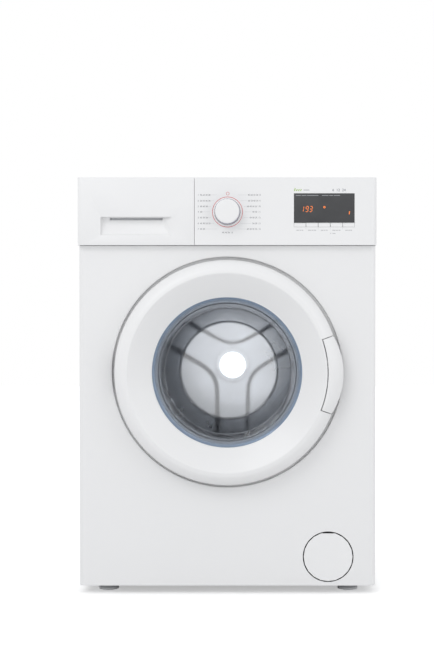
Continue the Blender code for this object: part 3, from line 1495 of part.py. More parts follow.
def drain_pump():
    pump = turned("drain_pump", [
        (0, VOLUTE_END_Y - PUMP_FLOOR),
        (PUMP_BORE, VOLUTE_END_Y - PUMP_FLOOR),
        (PUMP_BORE, PUMP_FRONT_Y),
        (PUMP_RADIUS, PUMP_FRONT_Y),
        (PUMP_RADIUS, VOLUTE_Y),
        (VOLUTE_RADIUS, VOLUTE_Y),
        (VOLUTE_RADIUS, VOLUTE_END_Y),
        (PUMP_MOTOR_RADIUS, VOLUTE_END_Y),
        (PUMP_MOTOR_RADIUS, PUMP_END_Y),
        (0, PUMP_END_Y),
    ], "black_plastic", (FILTER_X, 0, FILTER_Z), steps=SMALL_STEPS)
    outlet_x, outlet_y = PUMP_OUTLET
    join(
        pump,
        rod(
            "pump_inlet", (FILTER_X - PUMP_BORE, PUMP_INLET_Y, PUMP_INLET_Z),
            (PUMP_INLET_X, PUMP_INLET_Y, PUMP_INLET_Z), NIPPLE_RADIUS,
        ),
        rod(
            "pump_outlet", (outlet_x, outlet_y, FILTER_Z + PUMP_BORE), (
                outlet_x, outlet_y, PUMP_OUTLET_TOP_Z,
            ),
            PUMP_OUTLET_RADIUS, steps=12,
        ),
    )
    for front, back in PUMP_SADDLES:
        join(pump, box(
            "pump_saddle", (FILTER_X - PUMP_SADDLE_HALF, front, TRAY_FLOOR_Z + TRAY_SHEET + SEAT),
            (FILTER_X + PUMP_SADDLE_HALF, back, FILTER_Z - PUMP_BORE - SEAM),
        ))
    cut(
        pump,
        rod(
            "inlet_bore", (FILTER_X - PUMP_BORE + OVERRUN, PUMP_INLET_Y, PUMP_INLET_Z),
            (PUMP_INLET_X - OVERRUN, PUMP_INLET_Y, PUMP_INLET_Z), NIPPLE_BORE,
        ),
        rod(
            "outlet_bore", (outlet_x, outlet_y, FILTER_Z + PUMP_BORE - OVERRUN),
            (outlet_x, outlet_y, PUMP_OUTLET_TOP_Z + OVERRUN), PUMP_OUTLET_BORE, steps=12,
        ),
    )
    return pump


def pump_filter():
    front = PUMP_FRONT_Y - SEAM
    grip_half, grip_thick, grip_proud = FILTER_GRIP
    cap = turned("pump_filter", [
        (0, front),
        (PUMP_BORE - RUNNING, front),
        (PUMP_BORE - RUNNING, front + FILTER_CAP_DEPTH),
        (STRAINER_RADIUS, front + FILTER_CAP_DEPTH),
        (STRAINER_RADIUS, STRAINER_END_Y),
        (STRAINER_RADIUS - STRAINER_WALL, STRAINER_END_Y),
        (STRAINER_RADIUS - STRAINER_WALL, front + FILTER_CAP_DEPTH),
        (0, front + FILTER_CAP_DEPTH),
    ], "blue_plastic", (FILTER_X, 0, FILTER_Z), steps=SMALL_STEPS)
    join(cap, box(
        "filter_grip", (FILTER_X - grip_half, front - grip_proud + SEAM, FILTER_Z - grip_thick),
        (FILTER_X + grip_half, front + SEAM, FILTER_Z + grip_thick),
    ))
    slot_half, slot_length = STRAINER_SLOT
    middle = (front + FILTER_CAP_DEPTH + STRAINER_END_Y) / 2
    reach = STRAINER_RADIUS + OVERRUN
    cut(
        cap,
        box(
            "strainer_slot", (FILTER_X - reach, middle - slot_length / 2, FILTER_Z - slot_half),
            (FILTER_X + reach, middle + slot_length / 2, FILTER_Z + slot_half),
        ),
        box(
            "strainer_slot", (FILTER_X - slot_half, middle - slot_length / 2, FILTER_Z - reach),
            (FILTER_X + slot_half, middle + slot_length / 2, FILTER_Z + reach),
        ),
    )
    return cap


# Tub and what is fixed to it

TUB_NECK_RADIUS = 0.161
TUB_NECK_Y = TUB_Y - 0.012
TUB_SPLIT_Y = TUB_Y + 0.160
TUB_FLANGE_RADIUS = 0.264
TUB_FLANGE = 0.006
TUB_CHAMFER = 0.004
NIPPLE_ROOT = 0.165
NIPPLE_BORE_ROOT = 0.150
SUMP_ROOT = 0.235
SUMP_BORE_ROOT = 0.225
BEARING_HUB_RADIUS = 0.034
BEARING_END_Y = TUB_END_Y + 0.026
SHAFT_RADIUS = 0.0125
BEARING_FRONT = (0.0260, -0.002, 0.012)
BEARING_REAR = (0.0235, 0.016, 0.026)
SHAFT_ROOM_RADIUS = 0.0150
SPRING_LUG_Z = 0.559
SPRING_LUG_DEPTH = 0.006
SPRING_LUG_X = (0.2285, 0.272)
TUB_CLEAR = 0.0003
TUB_NIPPLE = (OUTLET_X, OUTLET_Y, DOOR_CENTRE_Z + 0.222)
SUMP = (0.050, FRONT_Y + 0.1335, DOOR_CENTRE_Z - 0.274)
MOTOR_LUG_HALF = 0.008
MOTOR_LUG_YS = ((TUB_Y + 0.225, TUB_Y + 0.240), (TUB_Y + 0.310, TUB_Y + 0.325))
MOTOR_LUG_Z = 0.1883
HEATER_HALF = 0.030
HEATER_PLUG = (0.1985, 0.2060)
HEATER_ROD_X = 0.022
HEATER_ROD_Z = 0.2018
HEATER_ROD_RADIUS = 0.0035
HEATER_FRONT_Y = -0.100


def tub_inner_cut(start, end):
    """Clears what lugs leave inside the tub."""
    return slab(
        "tub_inside", circle(0, DOOR_CENTRE_Z, TUB_RADIUS - TUB_WALL - TUB_CLEAR, INNER_STEPS), start, end, turn=FRONTWARD,
    )


def tub_front():
    outer, inner = TUB_RADIUS, TUB_RADIUS - TUB_WALL
    tub = turned("tub_front", [
        (TUB_NECK_RADIUS, TUB_NECK_Y),
        (TUB_NECK_RADIUS + TUB_WALL, TUB_NECK_Y),
        (TUB_NECK_RADIUS + TUB_WALL, TUB_Y),
        (outer - TUB_CHAMFER, TUB_Y),
        (outer, TUB_Y + TUB_CHAMFER),
        (outer, TUB_SPLIT_Y - TUB_FLANGE),
        (TUB_FLANGE_RADIUS, TUB_SPLIT_Y - TUB_FLANGE),
        (TUB_FLANGE_RADIUS, TUB_SPLIT_Y),
        (inner, TUB_SPLIT_Y),
        (inner, TUB_Y + TUB_WALL),
        (TUB_NECK_RADIUS, TUB_Y + TUB_WALL),
    ], "cream_plastic", DOOR_PLACE, steps=INNER_STEPS)
    x, y, top = TUB_NIPPLE
    sump_x, sump_y, sump_low = SUMP
    join(
        tub,
        rod("tub_inlet", (x, y, DOOR_CENTRE_Z + NIPPLE_ROOT), (x, y, top), OUTLET_RADIUS),
        rod(
            "tub_sump", (sump_x, sump_y, DOOR_CENTRE_Z - SUMP_ROOT), (sump_x, sump_y, sump_low),
            NIPPLE_RADIUS,
        ),
    )
    cut(
        tub,
        rod("tub_inlet_bore", (x, y, DOOR_CENTRE_Z + NIPPLE_BORE_ROOT), (x, y, top + OVERRUN), OUTLET_BORE),
        rod(
            "tub_sump_bore", (sump_x, sump_y, DOOR_CENTRE_Z - SUMP_BORE_ROOT), (
                sump_x, sump_y, sump_low - OVERRUN,
            ),
            NIPPLE_BORE,
        ),
        tub_inner_cut(TUB_Y + TUB_WALL + TUB_CLEAR, TUB_SPLIT_Y + OVERRUN),
    )
    return tub


def tub_rear():
    outer, inner = TUB_RADIUS, TUB_RADIUS - TUB_WALL
    front = TUB_SPLIT_Y + SEAT
    tub = turned("tub_rear", [
        (inner, front),
        (TUB_FLANGE_RADIUS, front),
        (TUB_FLANGE_RADIUS, front + TUB_FLANGE),
        (outer, front + TUB_FLANGE),
        (outer, TUB_END_Y - TUB_CHAMFER),
        (outer - TUB_CHAMFER, TUB_END_Y),
        (BEARING_HUB_RADIUS, TUB_END_Y),
        (BEARING_HUB_RADIUS, BEARING_END_Y),
        (BEARING_REAR[0] + SEAT, BEARING_END_Y),
        (BEARING_REAR[0] + SEAT, TUB_END_Y + BEARING_REAR[1] - SEAT),
        (SHAFT_ROOM_RADIUS, TUB_END_Y + BEARING_REAR[1] - SEAT),
        (SHAFT_ROOM_RADIUS, TUB_END_Y + BEARING_FRONT[2] + SEAT),
        (BEARING_FRONT[0] + SEAT, TUB_END_Y + BEARING_FRONT[2] + SEAT),
        (BEARING_FRONT[0] + SEAT, TUB_END_Y - TUB_WALL),
        (inner, TUB_END_Y - TUB_WALL),
    ], "cream_plastic", DOOR_PLACE, steps=INNER_STEPS)
    for side in (-1, 1):
        join(tub, spring_lug(side), tub_damper_lug(side))
    surface = DOOR_CENTRE_Z - math.sqrt(TUB_RADIUS ** 2 - (MOTOR_X + MOTOR_LUG_HALF) ** 2)
    for start, end in MOTOR_LUG_YS:
        join(tub, box(
            "motor_lug", (MOTOR_X - MOTOR_LUG_HALF, start, MOTOR_LUG_Z), (
                MOTOR_X + MOTOR_LUG_HALF, end, surface + TUB_WALL / 2,
            ),
        ))
    low, high = HEATER_PLUG
    cut(
        tub,
        tub_inner_cut(front - OVERRUN, TUB_END_Y - TUB_WALL - TUB_CLEAR),
        box(
            "heater_mouth", (-HEATER_HALF - SEAT, TUB_END_Y - 2 * TUB_WALL, low - SEAT),
            (HEATER_HALF + SEAT, TUB_END_Y + OVERRUN, high + SEAT),
        ),
    )
    return tub


def spring_lug(side):
    low, high = sorted((side * SPRING_LUG_X[0], side * SPRING_LUG_X[1]))
    lug = box(
        "spring_lug", (low, SPRING_Y - SPRING_LUG_HALF, SPRING_LUG_Z - SPRING_LUG_DEPTH),
        (high, SPRING_Y + SPRING_LUG_HALF, SPRING_LUG_Z),
    )
    x = side * SPRING_X
    return cut(lug, rod(
        "spring_eye", (x, SPRING_Y, SPRING_LUG_Z - 2 * OVERRUN), (x, SPRING_Y, SPRING_LUG_Z + OVERRUN),
        SPRING_HOLE_RADIUS, steps=8,
    ))


def tub_damper_lug(side):
    reach = DAMPER_X - DAMPER_LUG_HALF
    surface = DOOR_CENTRE_Z - math.sqrt(TUB_RADIUS ** 2 - reach ** 2)
    return damper_lug(
        side, DAMPER_HIGH_Z - DAMPER_EYE_RADIUS + SEAM, surface + DAMPER_LUG_HALF, DAMPER_HIGH_Z,
    )


COUNTERWEIGHT_RADII = (0.185, 0.236)
COUNTERWEIGHT_ANGLES = (math.radians(30), math.radians(150))
COUNTERWEIGHT_STEPS = 12
COUNTERWEIGHT_DEPTH = 0.030
TOP_WEIGHT_X = (0.020, 0.200)
TOP_WEIGHT_Y = (-0.008, 0.125)
TOP_WEIGHT_Z = 0.735
TOP_WEIGHT_STEPS = 5
WEIGHT_EDGE = 0.004


def counterweight_front():
    start, end = COUNTERWEIGHT_ANGLES
    angles = [start + (end - start) * step / COUNTERWEIGHT_STEPS for step in range(COUNTERWEIGHT_STEPS + 1)]
    inner, outer = COUNTERWEIGHT_RADII
    outline = [around_door(outer, angle) for angle in angles] + [around_door(inner, angle) for angle in reversed(
        angles,
    )]
    back = TUB_Y - SEAT
    weight = slab(
        "counterweight_front", outline, back - COUNTERWEIGHT_DEPTH, back, "cast_iron", turn=FRONTWARD,
    )
    round_edges(weight, WEIGHT_EDGE, 1)
    return weight


def counterweight_top():
    left, right = TOP_WEIGHT_X
    radius = TUB_RADIUS + SEAT
    first, last = math.acos(right / radius), math.acos(left / radius)
    angles = [first + (last - first) * step / TOP_WEIGHT_STEPS for step in range(TOP_WEIGHT_STEPS + 1)]
    reach = radius / math.cos((angles[1] - angles[0]) / 2)
    outline = [around_door(reach, angle) for angle in angles]
    outline += [(outline[-1][0], TOP_WEIGHT_Z), (outline[0][0], TOP_WEIGHT_Z)]
    return slab("counterweight_top", outline, *TOP_WEIGHT_Y, "cast_iron", turn=FRONTWARD)


def bearing(name, radius, start, end):
    front, back = TUB_END_Y + start, TUB_END_Y + end
    inner = SHAFT_RADIUS + SEAT
    return turned(
        name, [(inner, front), (radius, front), (radius, back), (inner, back)], "bright_steel", DOOR_PLACE,
        steps=SMALL_STEPS,
    )


def heater():
    x, z = HEATER_ROD_X, HEATER_ROD_Z
    plug_y = TUB_END_Y - 2 * TUB_WALL
    way = rounded(
        [
            (-x, plug_y + TUB_WALL, 0), (-x, HEATER_FRONT_Y, x / 2), (x, HEATER_FRONT_Y, x / 2),
            (x, plug_y + TUB_WALL, 0),
        ],
        closed=False,
    )
    element = tube(
        "heater", [(px, py, z) for px, py in way], HEATER_ROD_RADIUS, "bright_steel", resolution=1,
    )
    low, high = HEATER_PLUG
    return join(
        element,
        box("heater_plug", (-HEATER_HALF, plug_y, low), (HEATER_HALF, TUB_END_Y + 2 * TUB_WALL, high)),
    )


# Drum and drive

DRUM_LIP_Y = DRUM_Y + 0.007
DRUM_LIP_FLAT = (0.003, 0.010)
DRUM_SHOULDER = (0.008, 0.005)
DRUM_SHOULDER_DEPTH = 0.013
DRUM_BEND = 0.006
DRUM_DISH = (0.060, 0.100)
DRUM_DISH_DEPTH = 0.008
SPIDER_FRONT_Y = DRUM_END_Y + SEAT
SPIDER_DEPTH = 0.010
SPIDER_HUB_RADIUS = 0.030
SPIDER_REACH = 0.215
SPIDER_WIDTHS = (0.022, 0.013)
SPIDER_ANGLES = tuple(math.radians(angle) for angle in (30, 150, 270))
SHAFT_END_Y = PULLEY_Y + BELT_WIDTH / 2 + 0.003
LIFTER_ANGLES = tuple(math.radians(angle) for angle in (90, 210, 330))
LIFTER_HALVES = (0.030, 0.012)
LIFTER_TIP_RADIUS = 0.188
LIFTER_YS = (DRUM_Y + 0.027, DRUM_END_Y - 0.023)
LIFTER_EDGE = 0.006
PULLEY_HALF = BELT_WIDTH / 2 + 0.001
PULLEY_RIM = 0.012
PULLEY_HUB_RADIUS = 0.024
PULLEY_WEB_HALF = 0.003
SPOKE_COUNT = 6
SPOKE_HALF = 0.008
MOTOR_YS = (TUB_Y + 0.210, TUB_Y + 0.350)
MOTOR_BELL = 0.015
MOTOR_SHAFT_RADIUS = 0.0043
MOTOR_SHAFT_DEPTH = 0.010
BELT_STEPS = (28, 10)


def drum():
    return turned_shell("drum", [
        (DRUM_MOUTH_RADIUS, DRUM_LIP_Y),
        *((DRUM_MOUTH_RADIUS + out, DRUM_Y) for out in DRUM_LIP_FLAT),
        (DRUM_RADIUS - DRUM_SHOULDER[0], DRUM_Y + DRUM_SHOULDER[1]),
        (DRUM_RADIUS, DRUM_Y + DRUM_SHOULDER_DEPTH),
        (DRUM_RADIUS, DRUM_END_Y - DRUM_BEND),
        (DRUM_RADIUS - DRUM_BEND, DRUM_END_Y),
        (DRUM_DISH[1], DRUM_END_Y),
        (DRUM_DISH[0], DRUM_END_Y - DRUM_DISH_DEPTH),
        (0, DRUM_END_Y - DRUM_DISH_DEPTH),
    ], DRUM_SHEET, "bright_steel", DOOR_PLACE, steps=INNER_STEPS)


def drum_spider():
    near, far = SPIDER_WIDTHS
    outline = []
    for angle in SPIDER_ANGLES:
        along, across = Vector((math.cos(angle), math.sin(angle))), Vector(
            (-math.sin(angle), math.cos(angle)),
        )
        for reach, half in (
            (SPIDER_HUB_RADIUS, -near), (SPIDER_REACH, -far), (SPIDER_REACH, far),
            (SPIDER_HUB_RADIUS, near),
        ):
            point = along * reach + across * half
            outline.append((point.x, DOOR_CENTRE_Z + point.y))
    back = SPIDER_FRONT_Y + SPIDER_DEPTH
    spider = slab("drum_spider", outline, SPIDER_FRONT_Y, back, "cast_aluminium", turn=FRONTWARD)
    hub = turned("spider_hub", [
        (0, SPIDER_FRONT_Y + SPIDER_DEPTH / 2),
        (SPIDER_HUB_RADIUS, SPIDER_FRONT_Y + SPIDER_DEPTH / 2),
        (SPIDER_HUB_RADIUS, back + RIB_WIDTH),
        (SHAFT_RADIUS, back + RIB_WIDTH),
        (SHAFT_RADIUS, SHAFT_END_Y),
        (0, SHAFT_END_Y),
    ], place=DOOR_PLACE, steps=SMALL_STEPS)
    return join(spider, hub)


def drum_pulley():
    front, back = PULLEY_Y - PULLEY_HALF, PULLEY_Y + PULLEY_HALF
    web_front, web_back = PULLEY_Y - PULLEY_WEB_HALF, PULLEY_Y + PULLEY_WEB_HALF
    rim = PULLEY_RADIUS - PULLEY_RIM
    bore = SHAFT_RADIUS + SEAT
    pulley = turned("drum_pulley", [
        (bore, front + SEAM),
        (PULLEY_HUB_RADIUS, front + SEAM),
        (PULLEY_HUB_RADIUS, web_front),
        (rim, web_front),
        (rim, front),
        (PULLEY_RADIUS, front),
        (PULLEY_RADIUS, back),
        (rim, back),
        (rim, web_back),
        (PULLEY_HUB_RADIUS, web_back),
        (PULLEY_HUB_RADIUS, back),
        (bore, back),
    ], "cast_aluminium", DOOR_PLACE, steps=INNER_STEPS)
    gaps = [spoke_gap(math.tau * number / SPOKE_COUNT) for number in range(SPOKE_COUNT)]
    return cut(
        pulley,
        slab("spoke_gaps", gaps[0], front - OVERRUN, back + OVERRUN, turn=FRONTWARD, holes=gaps[1:]),
    )


def spoke_gap(angle):
    """The opening between two spokes, the first of which points along the angle."""
    width = math.tau / SPOKE_COUNT
    points = []
    for radius, order in (
        (PULLEY_HUB_RADIUS + PULLEY_WEB_HALF, 1), (PULLEY_RADIUS - PULLEY_RIM - PULLEY_WEB_HALF, -1),
    ):
        room = math.asin(SPOKE_HALF / radius)
        angles = [angle + room + (width - 2 * room) * step / 2 for step in range(3)]
        points += [around_door(radius, place) for place in angles[::order]]
    return points


def lifter(number, angle):
    """A paddle whose foot lies on two facets of the drum's wall."""
    half, tip_half = LIFTER_HALVES
    facet = math.pi / INNER_STEPS
    wall = DRUM_RADIUS * math.cos(facet) - DRUM_SHEET - SEAT
    foot = (wall - half * math.sin(facet)) / math.cos(facet)
    corners = [
        (foot, -half, 0), (wall / math.cos(facet), 0, 0), (foot, half, 0),
        (LIFTER_TIP_RADIUS, tip_half, LIFTER_EDGE), (LIFTER_TIP_RADIUS, -tip_half, LIFTER_EDGE),
    ]
    turned_x, turned_z = math.cos(angle), math.sin(angle)
    outline = [
        (reach * turned_x - across * turned_z, DOOR_CENTRE_Z + reach * turned_z + across * turned_x)
        for reach, across in rounded(corners)
    ]
    return slab(f"lifter_{number}", outline, *LIFTER_YS, "grey_plastic", turn=FRONTWARD)


def motor():
    front, back = MOTOR_YS
    bell = MOTOR_RADIUS - MOTOR_SHAFT_DEPTH / 2
    bore = MOTOR_SHAFT_RADIUS + SEAT
    body = turned("motor", [
        (0, front),
        (MOTOR_RADIUS / 2, front),
        (bell, front + MOTOR_BELL / 2),
        (bell, front + MOTOR_BELL),
        (MOTOR_RADIUS, front + MOTOR_BELL),
        (MOTOR_RADIUS, back - MOTOR_BELL),
        (bell, back - MOTOR_BELL),
        (bell, back - MOTOR_BELL / 2),
        (MOTOR_RADIUS / 2, back),
        (bore, back),
        (bore, back - MOTOR_SHAFT_DEPTH),
        (0, back - MOTOR_SHAFT_DEPTH),
    ], "cast_aluminium", (MOTOR_X, 0, MOTOR_Z), steps=24)
    for start, end in MOTOR_LUG_YS:
        join(body, box(
            "motor_boss", (MOTOR_X - MOTOR_LUG_HALF, start, MOTOR_Z + bell - MOTOR_LUG_HALF),
            (MOTOR_X + MOTOR_LUG_HALF, end, MOTOR_LUG_Z - SEAT),
        ))
    return body


def motor_pulley():
    start = MOTOR_YS[1] - MOTOR_SHAFT_DEPTH + SEAT
    front, back = PULLEY_Y - PULLEY_HALF, PULLEY_Y + PULLEY_HALF
    return turned("motor_pulley", [
        (0, start),
        (MOTOR_SHAFT_RADIUS, start),
        (MOTOR_SHAFT_RADIUS, front),
        (MOTOR_PULLEY_RADIUS, front),
        (MOTOR_PULLEY_RADIUS, back),
        (0, back),
    ], "bright_steel", (MOTOR_X, 0, MOTOR_Z), steps=SMALL_STEPS)


def belt_loop(room):
    """The belt's outline at a distance outside both pulleys."""
    big, small = PULLEY_RADIUS + room, MOTOR_PULLEY_RADIUS + room
    middle, other = Vector((0, DOOR_CENTRE_Z)), Vector((MOTOR_X, MOTOR_Z))
    way = other - middle
    heading = math.atan2(way.y, way.x)
    lean = math.acos((big - small) / way.length)
    points = []
    for centre, radius, start, end, steps in (
        (middle, big, heading + lean, heading + math.tau - lean, BELT_STEPS[0]),
        (other, small, heading - lean, heading + lean, BELT_STEPS[1]),
    ):
        reach = radius / math.cos((end - start) / steps / 2)
        angles = [start, *(start + (end - start) * (step + 1 / 2) / steps for step in range(steps)), end]
        radii = [radius, *([reach] * steps), radius]
        points += [(centre.x + r * math.cos(a), centre.y + r * math.sin(a)) for a, r in zip(angles, radii)]
    return points


def drive_belt():
    front, back = PULLEY_Y - BELT_WIDTH / 2, PULLEY_Y + BELT_WIDTH / 2
    return slab(
        "drive_belt", belt_loop(SEAT + BELT_THICKNESS), front, back, "black_rubber", turn=FRONTWARD, holes=[
            belt_loop(SEAT),
        ],
    )


# Suspension, hoses and water inlet

SPRING_WIRE = 0.0018
SPRING_COIL_RADIUS = 0.011
SPRING_TURNS = 4
SPRING_STEPS = 7
SPRING_COIL = (0.592, 0.745)
HOOK_REACH = 0.0045
DAMPER_ROD_RADIUS = 0.0046
DAMPER_ROD_LOW_Z = 0.098
PISTON_RADIUS = 0.0102
PISTON_HEIGHT = 0.018
CYLINDER_RADIUS = 0.013
CYLINDER_BORE = 0.0106
CYLINDER = (0.0640, 0.185)
CYLINDER_CAP = 0.006
BELLOWS_LOW_Z = 0.656
BELLOWS_HIGH_Z = HOUSING_FLOOR_Z - SEAM
BELLOWS_FOLDS = 3
BELLOWS_CUFF = 0.010
BELLOWS_WALL = 0.0016
BELLOWS_FOLD = 0.004
FILL_BORE = SPIGOT_RADIUS + SEAT
FILL_RADIUS = 0.0100
FILL_BEND = ((0.130, 0.0985, 0.007), (-0.080, 0.1135, 0.007), (-0.155, 0.1735, 0))
SUMP_BEND = ((0.006, 0.065, 0.038), (0.045, 0.010, 0.008))
SUMP_OVERLAP = 0.016
HOSE_OVERLAP = 0.018
VALVE_BODY = (0.170, 0.217, 0.744, 0.210, 0.262, 0.780)
VALVE_BORE = 0.008
VALVE_PROUD = 0.013
VALVE_SPIGOT = 0.014
COIL_RADIUS = 0.012
GLAND_BORE = 0.004
GLAND_FLANGE = 0.003


def hook_end(x, z, rise):
    """The end of a spring's wire: through a lug's hole and back round to its far face."""
    side = 1 if x > 0 else -1
    rest = math.copysign(SEAT, rise)
    return [
        (x, SPRING_Y, z - rise * 2),
        (x, SPRING_Y, z + rise / 2),
        (x - side * HOOK_REACH, SPRING_Y, z + rise),
        (x - side * 2 * HOOK_REACH, SPRING_Y, z + rise / 2),
        (x - side * 2 * HOOK_REACH, SPRING_Y, z + rest),
    ]


def spring(name, side):
    x = side * SPRING_X
    low, high = SPRING_COIL
    steps = SPRING_TURNS * SPRING_STEPS
    rise = 2 * HOOK_REACH
    way = hook_end(x, SPRING_LUG_Z - SPRING_LUG_DEPTH, -rise)[::-1]
    for step in range(steps + 1):
        angle = math.tau * step / SPRING_STEPS
        height = low + (high - low) * step / steps
        way.append(
            (
                x + SPRING_COIL_RADIUS * math.cos(angle), SPRING_Y + SPRING_COIL_RADIUS * math.sin(angle),
                height,
            ),
        )
    return tube(name, way + hook_end(x, SPRING_TOP_Z, rise), SPRING_WIRE, "bright_steel", resolution=1)


def damper_eye(piece, x, z):
    """Joins a damper's round eye and the pin that it hangs on."""
    front, back = DAMPER_Y - DAMPER_EYE_HALF, DAMPER_Y + DAMPER_EYE_HALF
    return join(
        piece,
        front_rod("damper_eye", x, z, front, back, DAMPER_EYE_RADIUS, steps=12),
        front_rod("damper_pin", x, z, DAMPER_LUG[0] - SHEET, DAMPER_Y, DAMPER_PIN_RADIUS, steps=12),
    )


def damper_cylinder(name, side):
    x = side * DAMPER_X
    low, high = CYLINDER
    neck = DAMPER_EYE_HALF - SEAT
    piece = turned(name, [
        (0, -DAMPER_LOW_Z),
        (neck, -DAMPER_LOW_Z),
        (neck, -low),
        (CYLINDER_RADIUS, -low - CYLINDER_CAP / 2),
        (CYLINDER_RADIUS, -high),
        (DAMPER_ROD_RADIUS + RUNNING, -high),
        (DAMPER_ROD_RADIUS + RUNNING, CYLINDER_CAP - high),
        (CYLINDER_BORE, CYLINDER_CAP - high),
        (CYLINDER_BORE, -low - 2 * CYLINDER_CAP),
        (0, -low - 2 * CYLINDER_CAP),
    ], "black_plastic", (x, DAMPER_Y, 0), steps=12, turn=UPRIGHT)
    return damper_eye(piece, x, DAMPER_LOW_Z)


def damper_rod(name, side):
    x = side * DAMPER_X
    low = DAMPER_ROD_LOW_Z
    piece = turned(name, [
        (0, -low),
        (PISTON_RADIUS, -low),
        (PISTON_RADIUS, -low - PISTON_HEIGHT),
        (DAMPER_ROD_RADIUS, -low - PISTON_HEIGHT),
        (DAMPER_ROD_RADIUS, -DAMPER_HIGH_Z),
        (0, -DAMPER_HIGH_Z),
    ], "grey_plastic", (x, DAMPER_Y, 0), steps=12, turn=UPRIGHT)
    return damper_eye(piece, x, DAMPER_HIGH_Z)


def dispenser_hose():
    """A bellows that follows the tub's travel."""
    inner = (OUTLET_RADIUS + SEAT) / math.cos(math.pi / TINY_STEPS)
    low, high = BELLOWS_LOW_Z, BELLOWS_HIGH_Z
    line = [(inner, low), (inner, low + BELLOWS_CUFF)]
    pitch = (high - low - 2 * BELLOWS_CUFF) / BELLOWS_FOLDS
    for fold in range(BELLOWS_FOLDS):
        line.append((inner + BELLOWS_FOLD, low + BELLOWS_CUFF + (fold + 1 / 2) * pitch))
        line.append((inner, low + BELLOWS_CUFF + (fold + 1) * pitch))
    line.append((inner, high))
    outer = [(radius + BELLOWS_WALL, z) for radius, z in line]
    profile = [(radius, -z) for radius, z in line + outer[::-1]]
    return turned(
        "dispenser_hose", profile, "black_rubber", (OUTLET_X, OUTLET_Y, 0), steps=TINY_STEPS, turn=UPRIGHT,
    )


def hose(name, way, radius, bore, finish):
    """A hollow hose along points. Its bore clears a round spigot and runs out at both ends."""
    way = [Vector(point) for point in way]
    ends = [
        way[0] + (way[0] - way[1]).normalized() * OVERRUN,
        way[-1] + (way[-1] - way[-2]).normalized() * OVERRUN,
    ]
    return cut(
        tube(name, way, radius, finish),
        tube(name + "_bore", [ends[0], *way, ends[1]], bore / math.cos(math.pi / 8)),
    )


def sump_hose():
    x, y, z = SUMP
    bend = [
        (x, y, z - OVERRUN / 2),
        *((x + aside, PUMP_INLET_Y + back, PUMP_INLET_Z + rise) for aside, back, rise in SUMP_BEND),
        (PUMP_INLET_X - SHEET, PUMP_INLET_Y, PUMP_INLET_Z),
    ]
    end = (PUMP_INLET_X + HOSE_OVERLAP, PUMP_INLET_Y, PUMP_INLET_Z)
    way = [(x, y, z + SUMP_OVERLAP), *smooth_way(bend, 3), end]
    return hose("sump_hose", way, HOSE_RADIUS, HOSE_BORE, "black_rubber")


def fill_hose():
    start_y, end_y = VALVE_BODY[1] - RUNNING, tray_bounds(RUNNING)[1][1] + MOULDED + RUNNING
    bend = [
        (VALVE_X, start_y - VALVE_SPIGOT - SHEET, VALVE_Z),
        *((x, REAR_Y - forward, INLET_Z + rise) for x, forward, rise in FILL_BEND),
        (OUTLET_X, end_y + SPIGOT_LENGTH + SHEET, INLET_Z),
    ]
    way = [(VALVE_X, start_y, VALVE_Z), *smooth_way(bend, 2), (OUTLET_X, end_y, INLET_Z)]
    return hose("fill_hose", way, FILL_RADIUS, FILL_BORE, "white_rubber")


def inlet_valve():
    left, front, low, right, back, high = VALVE_BODY
    valve = box("inlet_valve", (left, front, low), (right, back, high), "white_plastic", edge=MOULDED)
    end = REAR_Y + VALVE_PROUD
    middle = (front + back) / 2
    join(
        valve,
        front_rod("valve_nipple", VALVE_X, VALVE_Z, back - MOULDED, end, VALVE_RADIUS),
        front_rod(
            "valve_spigot", VALVE_X, VALVE_Z, front - VALVE_SPIGOT, front + MOULDED, SPIGOT_RADIUS, steps=8,
        ),
        rod(
            "valve_coil", (VALVE_X, middle, low + MOULDED), (VALVE_X, middle, low - COIL_RADIUS),
            COIL_RADIUS, steps=12,
        ),
    )
    return cut(
        valve,
        front_rod("valve_bore", VALVE_X, VALVE_Z, middle, end + OVERRUN, VALVE_BORE, steps=12),
        front_rod(
            "spigot_bore", VALVE_X, VALVE_Z, front - VALVE_SPIGOT - OVERRUN, middle - SHEET, GLAND_BORE,
            steps=8,
        ),
    )


def cable_gland():
    inside, outside = REAR_Y - OVERRUN, REAR_Y + SEAT
    return turned("cable_gland", [
        (GLAND_BORE, inside),
        (GLAND_RADIUS, inside),
        (GLAND_RADIUS, outside),
        (GLAND_RADIUS + GLAND_FLANGE, outside),
        (GLAND_RADIUS + GLAND_FLANGE, outside + GLAND_FLANGE),
        (GLAND_RADIUS - SHEET, outside + 3 * GLAND_FLANGE),
        (GLAND_BORE, outside + 3 * GLAND_FLANGE),
    ], "black_plastic", (GLAND_X, 0, GLAND_Z), steps=TINY_STEPS)


